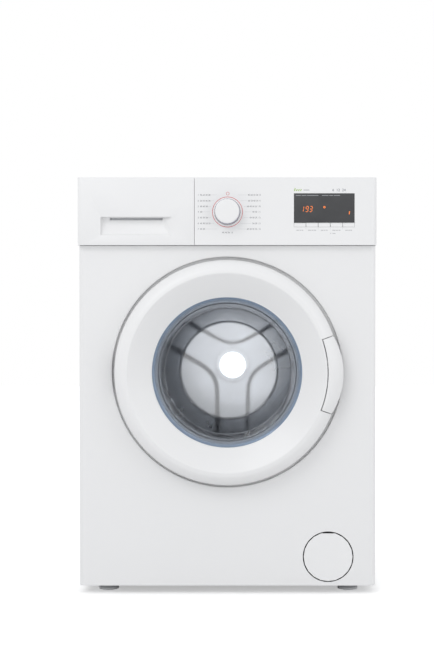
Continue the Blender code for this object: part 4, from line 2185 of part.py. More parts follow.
FINISHES = {
    "white_enamel": ((0.86, 0.86, 0.87), 0.35, 0),
    "white_laminate": ((0.85, 0.85, 0.86), 0.45, 0),
    "white_plastic": ((0.88, 0.88, 0.89), 0.35, 0),
    "zinc_steel": ((0.62, 0.63, 0.65), 0.45, 1),
    "grey_plastic": ((0.66, 0.67, 0.69), 0.45, 0),
    "smoked_glass": ((0.05, 0.05, 0.06), 0.12, 0),
    "circuit_green": ((0.05, 0.22, 0.12), 0.5, 0),
    "grey_moulding": ((0.42, 0.43, 0.45), 0.55, 0),
    "black_plastic": ((0.04, 0.04, 0.045), 0.5, 0),
    "door_glass": ((0.75, 0.80, 0.84), 0.05, 0),
    "grey_rubber": ((0.30, 0.31, 0.33), 0.6, 0),
    "black_rubber": ((0.03, 0.03, 0.03), 0.6, 0),
    "white_rubber": ((0.75, 0.75, 0.76), 0.5, 0),
    "cream_plastic": ((0.72, 0.71, 0.68), 0.5, 0),
    "cast_iron": ((0.20, 0.20, 0.21), 0.7, 1),
    "bright_steel": ((0.78, 0.79, 0.80), 0.22, 1),
    "cast_aluminium": ((0.60, 0.61, 0.62), 0.45, 1),
    "blue_plastic": ((0.12, 0.25, 0.45), 0.45, 0),
}


def main():
    clear_scene()
    for name, values in FINISHES.items():
        make_finish(name, *values)
    cabinet_wrap()
    rear_cover()
    front_panel()
    worktop()
    control_fascia()
    display_window()
    control_board()
    dispenser_box()
    drawer = pivot("drawer_slide", (0, FASCIA_Y, TRAY_LOW_Z))
    carry(drawer, drawer_front(), drawer_tray())
    for key in keys():
        carry(pivot(key.name + "_slide", key.location), key)
    carry(pivot("knob_axis", (KNOB_X, FASCIA_Y, KNOB_Z)), programme_knob())
    hinge_bracket()
    door_lock()
    door_gasket()
    door = pivot("door_hinge", (HINGE_X, HINGE_Y, DOOR_CENTRE_Z))
    carry(door, door_frame_outer(), door_frame_inner(), door_glass(), hinge_arm())
    carry(pivot("handle_axis", (*HANDLE_PIVOT, DOOR_CENTRE_Z), door), door_handle())
    carry(pivot("hook_axis", (*HOOK_PIVOT, DOOR_CENTRE_Z), door), door_hook())
    base_tray()
    for foot in feet():
        carry(pivot(foot.name + "_screw", foot.location), foot)
    carry(pivot("hatch_hinge", (FILTER_X, HATCH_AXIS_Y, HATCH_AXIS_Z)), filter_cover())
    drain_pump()
    tub = pivot("tub_travel", DOOR_PLACE)
    carry(
        tub, tub_front(), tub_rear(), counterweight_front(), counterweight_top(), motor(), heater(),
        drive_belt(),
    )
    carry(tub, bearing("bearing_front", *BEARING_FRONT), bearing("bearing_rear", *BEARING_REAR))
    carry(tub, damper_rod("damper_rod_left", -1), damper_rod("damper_rod_right", 1))
    spin_axis = pivot("drum_spin", DOOR_PLACE, tub)
    carry(spin_axis, drum(), drum_spider(), drum_pulley())
    for number, angle in enumerate(LIFTER_ANGLES, 1):
        carry(spin_axis, lifter(number, angle))
    carry(pivot("motor_spin", (MOTOR_X, PULLEY_Y, MOTOR_Z), tub), motor_pulley())
    damper_cylinder("damper_cylinder_left", -1)
    damper_cylinder("damper_cylinder_right", 1)
    spring("spring_left", -1)
    spring("spring_right", 1)
    dispenser_hose()
    sump_hose()
    fill_hose()
    inlet_valve()
    cable_gland()
    carry(pivot("filter_turn", (FILTER_X, PUMP_FRONT_Y, FILTER_Z)), pump_filter())


if __name__ == "__main__":
    main()
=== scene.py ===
"""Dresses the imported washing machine: fine shapes, finishes, and the studio it stands in."""

import json
import math

import bmesh
import bpy
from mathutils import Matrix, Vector


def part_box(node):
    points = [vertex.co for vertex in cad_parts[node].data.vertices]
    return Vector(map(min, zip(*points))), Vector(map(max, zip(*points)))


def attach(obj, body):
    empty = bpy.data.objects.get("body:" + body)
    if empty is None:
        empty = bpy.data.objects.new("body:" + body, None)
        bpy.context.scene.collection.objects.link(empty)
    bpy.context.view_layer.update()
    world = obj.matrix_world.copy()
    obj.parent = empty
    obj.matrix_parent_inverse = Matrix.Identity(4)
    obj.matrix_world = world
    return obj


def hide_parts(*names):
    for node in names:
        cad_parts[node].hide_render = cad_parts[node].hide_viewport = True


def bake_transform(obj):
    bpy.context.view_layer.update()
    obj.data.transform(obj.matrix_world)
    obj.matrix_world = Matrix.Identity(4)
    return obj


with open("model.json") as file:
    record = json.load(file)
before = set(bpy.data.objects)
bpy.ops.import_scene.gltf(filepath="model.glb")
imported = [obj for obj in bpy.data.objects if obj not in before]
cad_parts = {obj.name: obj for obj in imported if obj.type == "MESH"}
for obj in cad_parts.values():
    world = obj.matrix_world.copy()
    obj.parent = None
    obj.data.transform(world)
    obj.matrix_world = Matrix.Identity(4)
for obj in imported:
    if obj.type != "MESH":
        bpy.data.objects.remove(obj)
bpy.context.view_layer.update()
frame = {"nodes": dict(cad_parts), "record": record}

bl_info = {
    "name": "Washing machine dresser",
    "version": (1, 0, 0),
    "blender": (4, 5, 0),
    "location": "3D View > Sidebar > Washer",
    "description": "Builds the visible pieces and finishes of a front-loading washing machine",
    "category": "Object",
}

# Places in the part's frame, in metres: x to the right, -y to the front, z up
DOOR_Z = 0.446
DOOR_CENTRE = Vector((0, 0, DOOR_Z))
FRONT_Y = -0.2335
FASCIA_Y = -0.2455
KNOB = Vector((0.001, FASCIA_Y, 0.7656))
HATCH = Vector((0.2025, FRONT_Y, 0.075))
HATCH_HOLE = 0.0509

# The round dish in the front panel
DISH_Y = FRONT_Y + 0.010
DISH_RADIUS = 0.231
PORT_RADIUS = 0.168

# The door's ring and its handle
RIM_RADIUS = 0.2235
RIM_POINTS = [
    (0.198, -0.2785), (0.206, -0.2765), (0.214, -0.2712),
    (0.220, -0.2645), (RIM_RADIUS, -0.2560), (RIM_RADIUS, -0.2500),
]
HANDLE_START, HANDLE_END = math.radians(-21.7), math.radians(19.5)
HANDLE_GAP = math.radians(0.40)
HANDLE_ROOT = 0.2008
HANDLE_BOW = 0.008
PIN_X, PIN_Y = 0.1935, -0.2700

POCKET_DEPTH = 0.0125

# The drum, and the star, hub and ring pressed into its end
DRUM_RADIUS = 0.240
DRUM_FRONT_Y = FRONT_Y + 0.0685
DRUM_BACK_Y = DRUM_FRONT_Y + 0.300
HUB_RADIUS = 0.036
HUB_STEP = 0.0006
ARM_HALF, ARM_FILLET, ARM_REACH = 0.041, 0.010, 0.205
ARM_ANGLES = tuple(math.radians(degrees) for degrees in (30, 150, 270))
RING_RADIUS, RING_HALF, RING_HEIGHT = 0.214, 0.007, 0.0025
PRESS_SLOPE = 0.012

TURN_STEPS, SMALL_TURN_STEPS, TINY_TURN_STEPS = 192, 96, 32
SHARP = math.radians(32)
MERGE = 1e-6
NEAR = 1e-5
FRONTWARD = (math.pi / 2, 0, 0)

# Prints: how thick they are, how far they stand out of a face, and how far a printed ring goes into it
PRINT_DEPTH, PRINT_LIFT, PRINT_ROOT = 0.00006, 0.00010, 0.0002
SCALE_HEIGHT = 0.0030
LEADER_RADIUS = 0.0345
SEGMENTS = {
    "a": ((0.12, 1.0), (0.88, 1.0)), "b": ((1.0, 0.93), (1.0, 0.57)), "c": ((1.0, 0.43), (1.0, 0.07)),
    "d": ((0.12, 0.0), (0.88, 0.0)), "f": ((0.0, 0.93), (0.0, 0.57)), "g": ((0.12, 0.5), (0.88, 0.5)),
}
DIGITS = {"1": "bc", "3": "abcdg", "9": "abcdfg"}
DIGIT_WIDTH, DIGIT_HEIGHT, DIGIT_LEAN, DIGIT_STROKE, DIGIT_Z = 0.0046, 0.0106, 0.16, 0.0010, 0.7663


# Modelling by hand: what every piece is made with


def stand_free():
    """Leaves edit mode, with nothing selected."""
    active = bpy.context.view_layer.objects.active
    if active is not None and active.mode != "OBJECT":
        bpy.ops.object.mode_set(mode="OBJECT")
    bpy.ops.object.select_all(action="DESELECT")


def take(piece, *others):
    """Selects these pieces and nothing else, the first one active."""
    stand_free()
    for each in (*others, piece):
        each.hide_viewport = False
        each.select_set(True)
    bpy.context.view_layer.objects.active = piece


def named(name):
    """Names the active piece and its mesh."""
    piece = bpy.context.view_layer.objects.active
    piece.name = name
    piece.data.name = name
    return piece


def settled(name):
    """Names the active piece, and puts its place into its mesh."""
    bpy.ops.object.transform_apply(location=True, rotation=True, scale=True)
    return named(name)


def added(name, operator, **values):
    """Adds a primitive, with its place in its mesh."""
    stand_free()
    operator(**values)
    return settled(name)


def edit(piece):
    """Enters edit mode with everything selected."""
    take(piece)
    bpy.ops.object.mode_set(mode="EDIT")
    bpy.ops.mesh.select_mode(type="VERT")
    bpy.ops.mesh.select_all(action="SELECT")


def pick_edges(piece, test):
    """Selects, in edit mode, the edges that pass the test."""
    bpy.ops.mesh.select_all(action="DESELECT")
    bpy.ops.mesh.select_mode(type="EDGE")
    form = bmesh.from_edit_mesh(piece.data)
    for edge in form.edges:
        if test(edge):
            edge.select_set(True)
    form.select_flush_mode()
    bmesh.update_edit_mesh(piece.data)


def move_verts(piece, place):
    """Moves each vert, in edit mode, to the place that a function gives for it."""
    form = bmesh.from_edit_mesh(piece.data)
    for vert in form.verts:
        vert.co = place(vert)
    bmesh.update_edit_mesh(piece.data)


def turn_out():
    """Merges doubles, points the faces out and leaves edit mode."""
    bpy.ops.mesh.select_all(action="SELECT")
    bpy.ops.mesh.remove_doubles(threshold=MERGE)
    bpy.ops.mesh.normals_make_consistent(inside=False)
    stand_free()


def smooth(piece, angle=SHARP):
    take(piece)
    bpy.ops.object.shade_smooth_by_angle(angle=angle)
    return piece


def modified(piece, kind, **values):
    """Adds a modifier with these values, and applies it."""
    modifier = piece.modifiers.new(kind.lower(), kind)
    for key, value in values.items():
        setattr(modifier, key, value)
    take(piece)
    bpy.ops.object.modifier_apply(modifier=modifier.name)
    return piece


def bevelled(piece, width, segments=3):
    """Breaks the sharp edges, as a tool or a mould leaves them."""
    return smooth(modified(
        piece, "BEVEL", width=width, segments=segments, limit_method="ANGLE", angle_limit=SHARP,
        use_clamp_overlap=True, miter_outer="MITER_ARC",
    ))


def combined(piece, operation, tools):
    """Joins or cuts with other pieces, which are used up."""
    for tool in tools:
        modified(piece, "BOOLEAN", operation=operation, solver="EXACT", object=tool)
        bpy.data.objects.remove(tool, do_unlink=True)
    return piece


def cut(piece, *tools):
    return combined(piece, "DIFFERENCE", tools)


def joined(name, pieces):
    """One object of several shells."""
    take(*pieces)
    bpy.ops.object.join()
    return named(name)


def copied(piece, name):
    take(piece)
    bpy.ops.object.duplicate()
    return named(name)


def extrude_by(step):
    bpy.ops.mesh.extrude_edges_move(TRANSFORM_OT_translate={"value": step})


def ring_on(profile, radius, y, centre):
    """Goes on from the selected ring, in edit mode, through (radius, y) places."""
    for next_radius, next_y in profile:
        extrude_by((0, next_y - y, 0))
        if not next_radius:
            bpy.ops.mesh.merge(type="CENTER")
            break
        share = next_radius / radius
        if abs(share - 1) > 1e-9:
            bpy.ops.transform.resize(value=(share, 1, share), center_override=(centre.x, next_y, centre.z))
        radius, y = next_radius, next_y


def turned(name, profile, centre=DOOR_CENTRE, steps=TURN_STEPS, closed=False):
    """Turns a profile of (radius, y) round an axis to the front, ring after ring."""
    radius, y = profile[0]
    piece = added(
        name, bpy.ops.mesh.primitive_circle_add, vertices=steps, radius=radius,
        location=(centre.x, y, centre.z), rotation=FRONTWARD,
    )
    edit(piece)
    ring_on(profile[1:] + profile[:1] if closed else profile[1:], radius, y, centre)
    turn_out()
    return piece


def drawn_face(name, outline, place_of):
    """Draws an outline point by point and fills it. place_of gives a point's place from (u, v, w)."""
    here = Vector(place_of(*outline[0], 0))
    piece = added(name, bpy.ops.mesh.primitive_plane_add, size=0.001, location=here)
    edit(piece)
    bpy.ops.mesh.merge(type="CENTER")
    for point in outline[1:]:
        there = Vector(place_of(*point, 0))
        bpy.ops.mesh.extrude_vertices_move(TRANSFORM_OT_translate={"value": there - here})
        here = there
    bpy.ops.mesh.select_all(action="SELECT")
    bpy.ops.mesh.edge_face_add()
    return piece


def drawn(name, outline, depth, place_of):
    """Draws an outline and extrudes it along w."""
    piece = drawn_face(name, outline, place_of)
    way = Vector(place_of(*outline[0], depth)) - Vector(place_of(*outline[0], 0))
    bpy.ops.mesh.extrude_region_move(TRANSFORM_OT_translate={"value": way})
    turn_out()
    return piece


def from_front(y):
    """Outlines in (x, z), with depth going back from y."""
    return lambda u, v, w: (u, y + w, v)


def from_below(z):
    """Outlines in (x, y), with depth going up from z."""
    return lambda u, v, w: (u, v, z + w)


def block(name, low, high, edge=0.0, segments=3):
    stand_free()
    low, high = Vector(low), Vector(high)
    bpy.ops.mesh.primitive_cube_add(size=1, location=(low + high) / 2)
    bpy.context.view_layer.objects.active.scale = high - low
    piece = settled(name)
    return bevelled(piece, edge, segments) if edge else piece


def bar(name, start, end, radius, steps=TINY_TURN_STEPS):
    """A round bar between two points."""
    start, end = Vector(start), Vector(end)
    way = end - start
    return added(
        name, bpy.ops.mesh.primitive_cylinder_add, vertices=steps, radius=radius, depth=way.length,
        location=(start + end) / 2, rotation=way.to_track_quat("Z", "Y").to_euler(),
    )


def refined(node, edge, segments=2):
    """A copy of a CAD node with its edges broken. Its wide faces rule the normals, and so shade flat."""
    copy = copied(frame["nodes"][node], f"{node}_fine")
    for key in list(copy.keys()):
        del copy[key]
    copy.parent = None
    edit(copy)
    bpy.ops.mesh.remove_doubles(threshold=MERGE)
    stand_free()
    if not edge:
        return smooth(copy)
    return modified(bevelled(copy, edge, segments), "WEIGHTED_NORMAL", keep_sharp=True)


def arc(cx, cy, radius, start, end, steps):
    """Points on an arc, angles in degrees."""
    angles = [math.radians(start + (end - start) * step / steps) for step in range(steps + 1)]
    return [(cx + radius * math.cos(angle), cy + radius * math.sin(angle)) for angle in angles]


def softened(corners, steps=6, closed=False):
    """Rounds each (u, v, radius) corner of a line."""
    points = []
    count = len(corners)
    for index, (u, v, radius) in enumerate(corners):
        here = Vector((u, v))
        if not radius or (not closed and index in (0, count - 1)):
            points.append((u, v))
            continue
        before = (Vector(corners[index - 1][:2]) - here).normalized()
        after = (Vector(corners[(index + 1) % count][:2]) - here).normalized()
        half = before.angle(after) / 2
        reach = radius / math.tan(half)
        centre = here + (before + after).normalized() * radius / math.sin(half)
        start, end = here + before * reach - centre, here + after * reach - centre
        swing = start.angle_signed(end)
        for step in range(steps + 1):
            turn = -swing * step / steps
            points.append((
                centre.x + start.x * math.cos(turn) - start.y * math.sin(turn),
                centre.y + start.x * math.sin(turn) + start.y * math.cos(turn),
            ))
    return points


# Finishes that the record keeps under another finish's slot
SLOT_OF = {
    "door_plastic": "white_plastic", "key_plastic": "white_plastic", "foot_plastic": "black_plastic",
    "drum_steel": "bright_steel", "dark_chrome": "bright_steel", "belt_rubber": "black_rubber",
    **dict.fromkeys((
        "ring_red", "lit_orange", "print_grey", "print_soft", "print_line", "print_faint", "print_pale",
        "print_green",
    ), "grey_plastic"),
}
FINISHES = {}


def dressed(piece, body, finish, *nodes):
    """Gives a piece its finish and its body, and hides the CAD nodes it stands for."""
    if piece.data.materials:
        piece.data.materials.clear()
    piece.data.materials.append(FINISHES[finish])
    if body:
        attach(piece, body)
    if nodes:
        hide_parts(*nodes)
    return piece


# Finishes, each built from nodes on object coordinates


class Tree:
    """The nodes of a material or a world."""

    def __init__(self, owner):
        owner.use_nodes = True
        self.nodes = owner.node_tree.nodes
        self.links = owner.node_tree.links

    def add(self, kind, **values):
        node = self.nodes.new(kind)
        for key, value in values.items():
            if hasattr(node, key):
                setattr(node, key, value)
            else:
                node.inputs[key.replace("_", " ")].default_value = value
        return node

    def link(self, output, target):
        self.links.new(output, target)

    def math(self, operation, *values):
        node = self.add("ShaderNodeMath", operation=operation)
        for socket, value in zip(node.inputs, values):
            if isinstance(value, (int, float)):
                socket.default_value = value
            else:
                self.link(value, socket)
        return node.outputs[0]


class Finish(Tree):
    """A material that is put together node by node."""

    def __init__(self, name):
        self.material = bpy.data.materials.new(name)
        super().__init__(self.material)
        self.shader = self.nodes["Principled BSDF"]
        self.place = self.add("ShaderNodeTexCoord").outputs["Object"]

    def set(self, **values):
        for key, value in values.items():
            self.shader.inputs[key.replace("_", " ")].default_value = value

    def mapped(self, scale=(1, 1, 1), location=(0, 0, 0), rotation=(0, 0, 0)):
        node = self.add("ShaderNodeMapping", Scale=scale, Location=location, Rotation=rotation)
        self.link(self.place, node.inputs["Vector"])
        return node.outputs["Vector"]

    def off_axis(self):
        """How far a place is from the axis of the door and the drum."""
        node = self.add("ShaderNodeVectorMath", operation="LENGTH")
        self.link(self.mapped((1, 0, 1), (0, 0, -DOOR_Z)), node.inputs[0])
        return node.outputs["Value"]

    def texture(self, kind, place=None, **values):
        node = self.add(f"ShaderNodeTex{kind}", **values)
        self.link(place or self.place, node.inputs["Vector"])
        return node

    def noise(self, scale, detail=3.0, place=None, roughness=0.5):
        return self.texture("Noise", place, Scale=scale, Detail=detail, Roughness=roughness).outputs["Fac"]

    def spread(self, value, low, high, start=0.3, end=0.7):
        node = self.add("ShaderNodeMapRange", From_Min=start, From_Max=end, To_Min=low, To_Max=high)
        self.link(value, node.inputs["Value"])
        return node.outputs["Result"]

    def mixed(self, one, share, other, rest):
        """Adds a share of one value to a rest of the other."""
        return self.math("ADD", self.math("MULTIPLY", one, share), self.math("MULTIPLY", other, rest))

    def colour(self, share, one, other):
        """Blends the base colour from one colour to the other."""
        node = self.add("ShaderNodeMix", data_type="RGBA")
        inputs = [socket for socket in node.inputs if socket.type == "RGBA"]
        inputs[0].default_value, inputs[1].default_value = (*one, 1), (*other, 1)
        self.link(share, node.inputs[0])
        made = next(socket for socket in node.outputs if socket.type == "RGBA")
        self.link(made, self.shader.inputs["Base Color"])
        return made

    def tones(self, value, colour, dark, light):
        """Varies a base colour between two shares of itself."""
        return self.colour(self.spread(value, 0, 1), shade_of(colour, dark), shade_of(colour, light))

    def gloss(self, value, low, high, start=0.3, end=0.7):
        self.link(self.spread(value, low, high, start, end), self.shader.inputs["Roughness"])

    def relief(self, height, distance):
        node = self.add("ShaderNodeBump", Strength=1.0, Distance=distance)
        self.link(height, node.inputs["Height"])
        self.link(node.outputs["Normal"], self.shader.inputs["Normal"])


def shade_of(colour, share):
    return tuple(min(1.0, channel * share) for channel in colour)


def moulded(made, colour, roughness, tone, patch, grain, relief, **more):
    """A moulded, painted or rubber surface: slow tone changes, fine grain, and a gloss that varies."""
    made.tones(made.noise(patch, 2.0), colour, 1 - tone, 1 + tone)
    made.gloss(made.noise(patch * 7, 4.0), roughness * 0.88, roughness * 1.12)
    made.relief(made.noise(grain, 2.0), relief)
    made.set(**more)


def metal(made, colour, roughness):
    """Drawn or brushed metal with fine lines."""
    lines = made.noise(1.0, 3.0, made.mapped((6, 500, 6)))
    made.tones(lines, colour, 0.92, 1.08)
    made.gloss(made.mixed(lines, 0.6, made.noise(9.0, 3.0), 0.4), roughness * 0.7, roughness * 1.4)
    made.relief(lines, 0.00002)
    made.set(Metallic=1.0)


def spangled_zinc(made):
    """Zinc coated sheet, with its frost-like grains."""
    cells = made.texture("Voronoi", Scale=110.0)
    grey = made.add("ShaderNodeRGBToBW")
    made.link(cells.outputs["Color"], grey.inputs[0])
    made.colour(grey.outputs[0], (0.50, 0.51, 0.53), (0.68, 0.69, 0.71))
    made.gloss(grey.outputs[0], 0.28, 0.48, 0, 1)
    made.relief(made.noise(300.0, 2.0), 0.00001)
    made.set(Metallic=0.9)


def cast_metal(made, colour, roughness, metallic):
    """A rough casting, painted or bare."""
    coarse, fine = made.noise(60.0, 5.0, roughness=0.65), made.noise(420.0, 3.0)
    made.tones(coarse, colour, 0.82, 1.16)
    made.gloss(fine, roughness * 0.85, roughness * 1.15)
    made.relief(made.mixed(coarse, 0.7, fine, 0.3), 0.00025)
    made.set(Metallic=metallic)


def drum_steel(made, colour):
    """Polished stainless sheet with faint turning lines, both along the wall and round the end."""
    lines = made.noise(1.0, 3.0, made.mapped((3, 900, 3)))
    radius = made.off_axis()
    rings = made.add("ShaderNodeTexNoise", noise_dimensions="1D", Scale=700.0, Detail=2.0)
    made.link(radius, rings.inputs["W"])
    both = made.mixed(lines, 0.5, rings.outputs["Fac"], 0.5)
    made.tones(both, colour, 0.96, 1.03)
    cloud = made.spread(made.noise(14.0, 3.0), 0.20, 0.28)
    hub = made.spread(radius, 0.15, 1.0, HUB_RADIUS - 0.001, HUB_RADIUS + 0.002)
    made.link(made.math("MULTIPLY", cloud, hub), made.shader.inputs["Roughness"])
    made.relief(both, 0.000006)
    made.set(Metallic=1.0)


def pressed_glass(made, tint):
    """Thick pressed glass, faintly wavy, and a deeper blue towards its rim."""
    rim = made.spread(made.off_axis(), 0, 1, 0.135, 0.147)
    made.colour(rim, tint, (0.40, 0.52, 0.68))
    made.relief(made.noise(22.0, 2.0), 0.00012)
    made.set(Roughness=0.0, IOR=1.5)
    clear = made.math("SUBTRACT", 1.0, made.math("MULTIPLY", rim, 0.38))
    made.link(clear, made.shader.inputs["Transmission Weight"])


def printed(made, colour, glow=0.0):
    """Ink or a lit segment, slightly uneven."""
    uneven = made.noise(1500.0, 2.0)
    ink = made.tones(uneven, colour, 0.9, 1.1)
    made.gloss(uneven, 0.45, 0.55)
    if glow:
        made.link(ink, made.shader.inputs["Emission Color"])
        made.set(Emission_Strength=glow)


def smoked_window(made):
    """Dark tinted plastic with a faint dust haze."""
    made.colour(made.spread(made.noise(35.0, 4.0), 0, 1), (0.044, 0.045, 0.048), (0.054, 0.055, 0.058))
    made.gloss(made.noise(80.0, 3.0), 0.28, 0.38)
    made.relief(made.noise(700.0, 2.0), 0.000004)


def circuit_board(made):
    """Green solder mask with paler tracks."""
    tracks = made.texture(
        "Brick", made.mapped(rotation=FRONTWARD), Scale=90.0, Mortar_Size=0.03, Color1=(0.03, 0.16, 0.08, 1),
        Color2=(0.035, 0.19, 0.10, 1), Mortar=(0.10, 0.34, 0.18, 1),
    )
    made.link(tracks.outputs["Color"], made.shader.inputs["Base Color"])
    made.relief(tracks.outputs["Fac"], 0.00003)
    made.set(Roughness=0.35)


def belt_rubber(made):
    """Black rubber with ribs that run along the belt."""
    ribs = made.texture("Wave", bands_direction="Y", Scale=110.0)
    made.colour(ribs.outputs["Fac"], (0.016, 0.016, 0.017), (0.035, 0.035, 0.036))
    made.relief(ribs.outputs["Fac"], 0.0003)
    made.set(Roughness=0.6)


# Moulded finishes: colour, roughness, tone, patches, grain, relief
MOULDINGS = {
    "grey_plastic": ((0.60, 0.61, 0.63), 0.45, 0.03, 12.0, 900.0, 0.00003),
    "key_plastic": ((0.86, 0.86, 0.86), 0.4, 0.01, 30.0, 900.0, 0.00001),
    "grey_moulding": ((0.36, 0.37, 0.39), 0.55, 0.05, 14.0, 500.0, 0.00006),
    "cream_plastic": ((0.62, 0.61, 0.58), 0.5, 0.06, 18.0, 400.0, 0.00005),
    "black_plastic": ((0.025, 0.025, 0.028), 0.5, 0.15, 12.0, 600.0, 0.00005),
    "blue_plastic": ((0.05, 0.16, 0.38), 0.4, 0.05, 20.0, 700.0, 0.00003),
    "foot_plastic": ((0.78, 0.78, 0.78), 0.55, 0.03, 20.0, 600.0, 0.00004),
    "grey_rubber": ((0.11, 0.112, 0.12), 0.55, 0.08, 30.0, 500.0, 0.00005),
    "black_rubber": ((0.022, 0.022, 0.023), 0.62, 0.12, 30.0, 500.0, 0.00006),
    "white_rubber": ((0.68, 0.68, 0.69), 0.5, 0.04, 25.0, 600.0, 0.00003),
}
METALS = {"dark_chrome": ((0.34, 0.37, 0.44), 0.20), "bright_steel": ((0.70, 0.71, 0.72), 0.22)}
CASTINGS = {
    "cast_aluminium": ((0.55, 0.56, 0.57), 0.42, 0.9),
    "cast_iron": ((0.13, 0.13, 0.14), 0.7, 0.25),
}
INKS = {
    "print_faint": ((0.44, 0.44, 0.45),),
    "print_soft": ((0.20, 0.20, 0.21),),
    "print_line": ((0.50, 0.50, 0.51),),
    "print_pale": ((0.36, 0.37, 0.39),),
    "print_green": ((0.36, 0.55, 0.12),),
}


# Settings a user would change


def colour_setting(name, description, default):
    return bpy.props.FloatVectorProperty(
        name=name, description=description, default=default, size=3, min=0, max=1, subtype="COLOR",
    )


def setting(name, description, default, **more):
    return bpy.props.FloatProperty(name=name, description=description, default=default, **more)


class CabinetSettings(bpy.types.PropertyGroup):
    enamel: colour_setting("Enamel", "Colour of the painted sheet", (0.845, 0.845, 0.845))
    plastic: colour_setting("Plastic", "Colour of the fascia, drawer and knob", (0.86, 0.86, 0.86))
    sheet: setting("Sheet", "Thickness of the cabinet's sheet steel", 0.0012, unit="LENGTH")
    corner: setting("Corner", "Radius of the front's upright edges", 0.010, unit="LENGTH")
    recess_lip: setting("Dish lip", "Radius of the round dish's pressed lip", 0.0016, unit="LENGTH")


class DoorSettings(bpy.types.PropertyGroup):
    plastic: colour_setting("Ring", "Colour of the door's ring and handle", (0.85, 0.85, 0.85))
    glass: colour_setting("Glass", "Tint of the door's glass bowl", (0.93, 0.95, 0.975))
    glass_wall: setting("Glass wall", "Thickness of the glass bowl", 0.004, unit="LENGTH")


class DrumSettings(bpy.types.PropertyGroup):
    steel: colour_setting("Steel", "Colour of the stainless drum", (0.70, 0.71, 0.73))
    hole_radius: setting("Hole", "Radius of the drum's drain holes", 0.0019, unit="LENGTH")
    around: bpy.props.IntProperty(
        name="Holes round", description="Drain holes in each ring of the drum", default=96, min=24, max=144,
    )
    rows: bpy.props.IntProperty(
        name="Rings of holes", description="Rings of drain holes along the drum", default=19, min=4, max=30,
    )
    star_depth: setting("Star depth", "Height of the star pressed into the drum's end", 0.0016, unit="LENGTH")


class PanelSettings(bpy.types.PropertyGroup):
    segment: colour_setting("Digits", "Colour of the lit digits", (0.95, 0.22, 0.04))
    print_grey: colour_setting("Print", "Colour of the printed scale", (0.20, 0.21, 0.24))
    ring_red: colour_setting("Ring", "Colour of the thin ring round the knob", (0.62, 0.05, 0.07))
    ring_radius: setting("Ring radius", "Radius of the ring printed round the knob", 0.0299, unit="LENGTH")


class StudioSettings(bpy.types.PropertyGroup):
    key_power: setting("Key light", "Strength of the soft light at the upper left", 24.0, unit="POWER")
    fill_power: setting("Fill light", "Strength of the soft light at the right", 9.0, unit="POWER")
    eye_power: setting("Eye light", "Strength of the lamp that shines in the drum's hub", 0.09, unit="POWER")
    sky: setting("Sky", "Strength of the light from all round", 0.84, min=0)
    floor_glow: setting("Floor glow", "What the floor adds for the camera, to meet the sky", 0.42, min=0)
    eye: bpy.props.FloatVectorProperty(
        name="Eye", description="Place of the camera", default=(0.08, -2.6335, 0.556), size=3,
        subtype="TRANSLATION", unit="LENGTH",
    )
    tilt: setting("Tilt", "How far the camera looks down", math.radians(0.91), subtype="ANGLE")
    lens: setting("Lens", "Focal length for a film 36 mm wide, in millimetres", 66.36, min=1)


SETTINGS = {
    "washer_cabinet": CabinetSettings,
    "washer_door": DoorSettings,
    "washer_drum": DrumSettings,
    "washer_panel": PanelSettings,
    "washer_studio": StudioSettings,
}


def outline_offset(points, wall):
    """Moves an open line to its left by a wall, keeping its corners."""
    moved = []
    for index, point in enumerate(points):
        here = Vector(point)
        ways = []
        if index:
            ways.append((here - Vector(points[index - 1])).normalized())
        if index < len(points) - 1:
            ways.append((Vector(points[index + 1]) - here).normalized())
        sides = [Vector((-way.y, way.x)) for way in ways]
        side = sum(sides, Vector((0, 0))).normalized()
        moved.append(tuple(here + side * wall / max(side.dot(sides[0]), 0.3)))
    return moved


def walled(line, wall):
    """A closed outline: a line, and the same line moved in by a wall."""
    return list(line) + outline_offset(line, wall)[::-1]


def flowing(points, steps=5):
    """A smooth line through points."""
    points = [Vector(point) for point in points]
    ends = [2 * points[0] - points[1], *points, 2 * points[-1] - points[-2]]
    line = []
    for before, start, end, after in zip(ends, ends[1:], ends[2:], ends[3:]):
        for step in range(steps):
            share = step / steps
            line.append(tuple(0.5 * (
                2 * start + (end - before) * share + (2 * before - 5 * start + 4 * end - after) * share ** 2
                + (3 * start - before - 3 * end + after) * share ** 3
            )))
    return [*line, tuple(points[-1])]


def around_door(radius, angle):
    return radius * math.cos(angle), DOOR_Z + radius * math.sin(angle)


def body_of(node):
    bodies = frame["record"]["behaviour"]["bodies"]
    return next(body for body, nodes in bodies.items() if node in nodes)


def refine(nodes, finish, edge=0.0006, segments=2):
    """Puts refined copies in the places of CAD nodes."""
    for node in nodes:
        dressed(refined(node, edge, segments), body_of(node), finish, node)


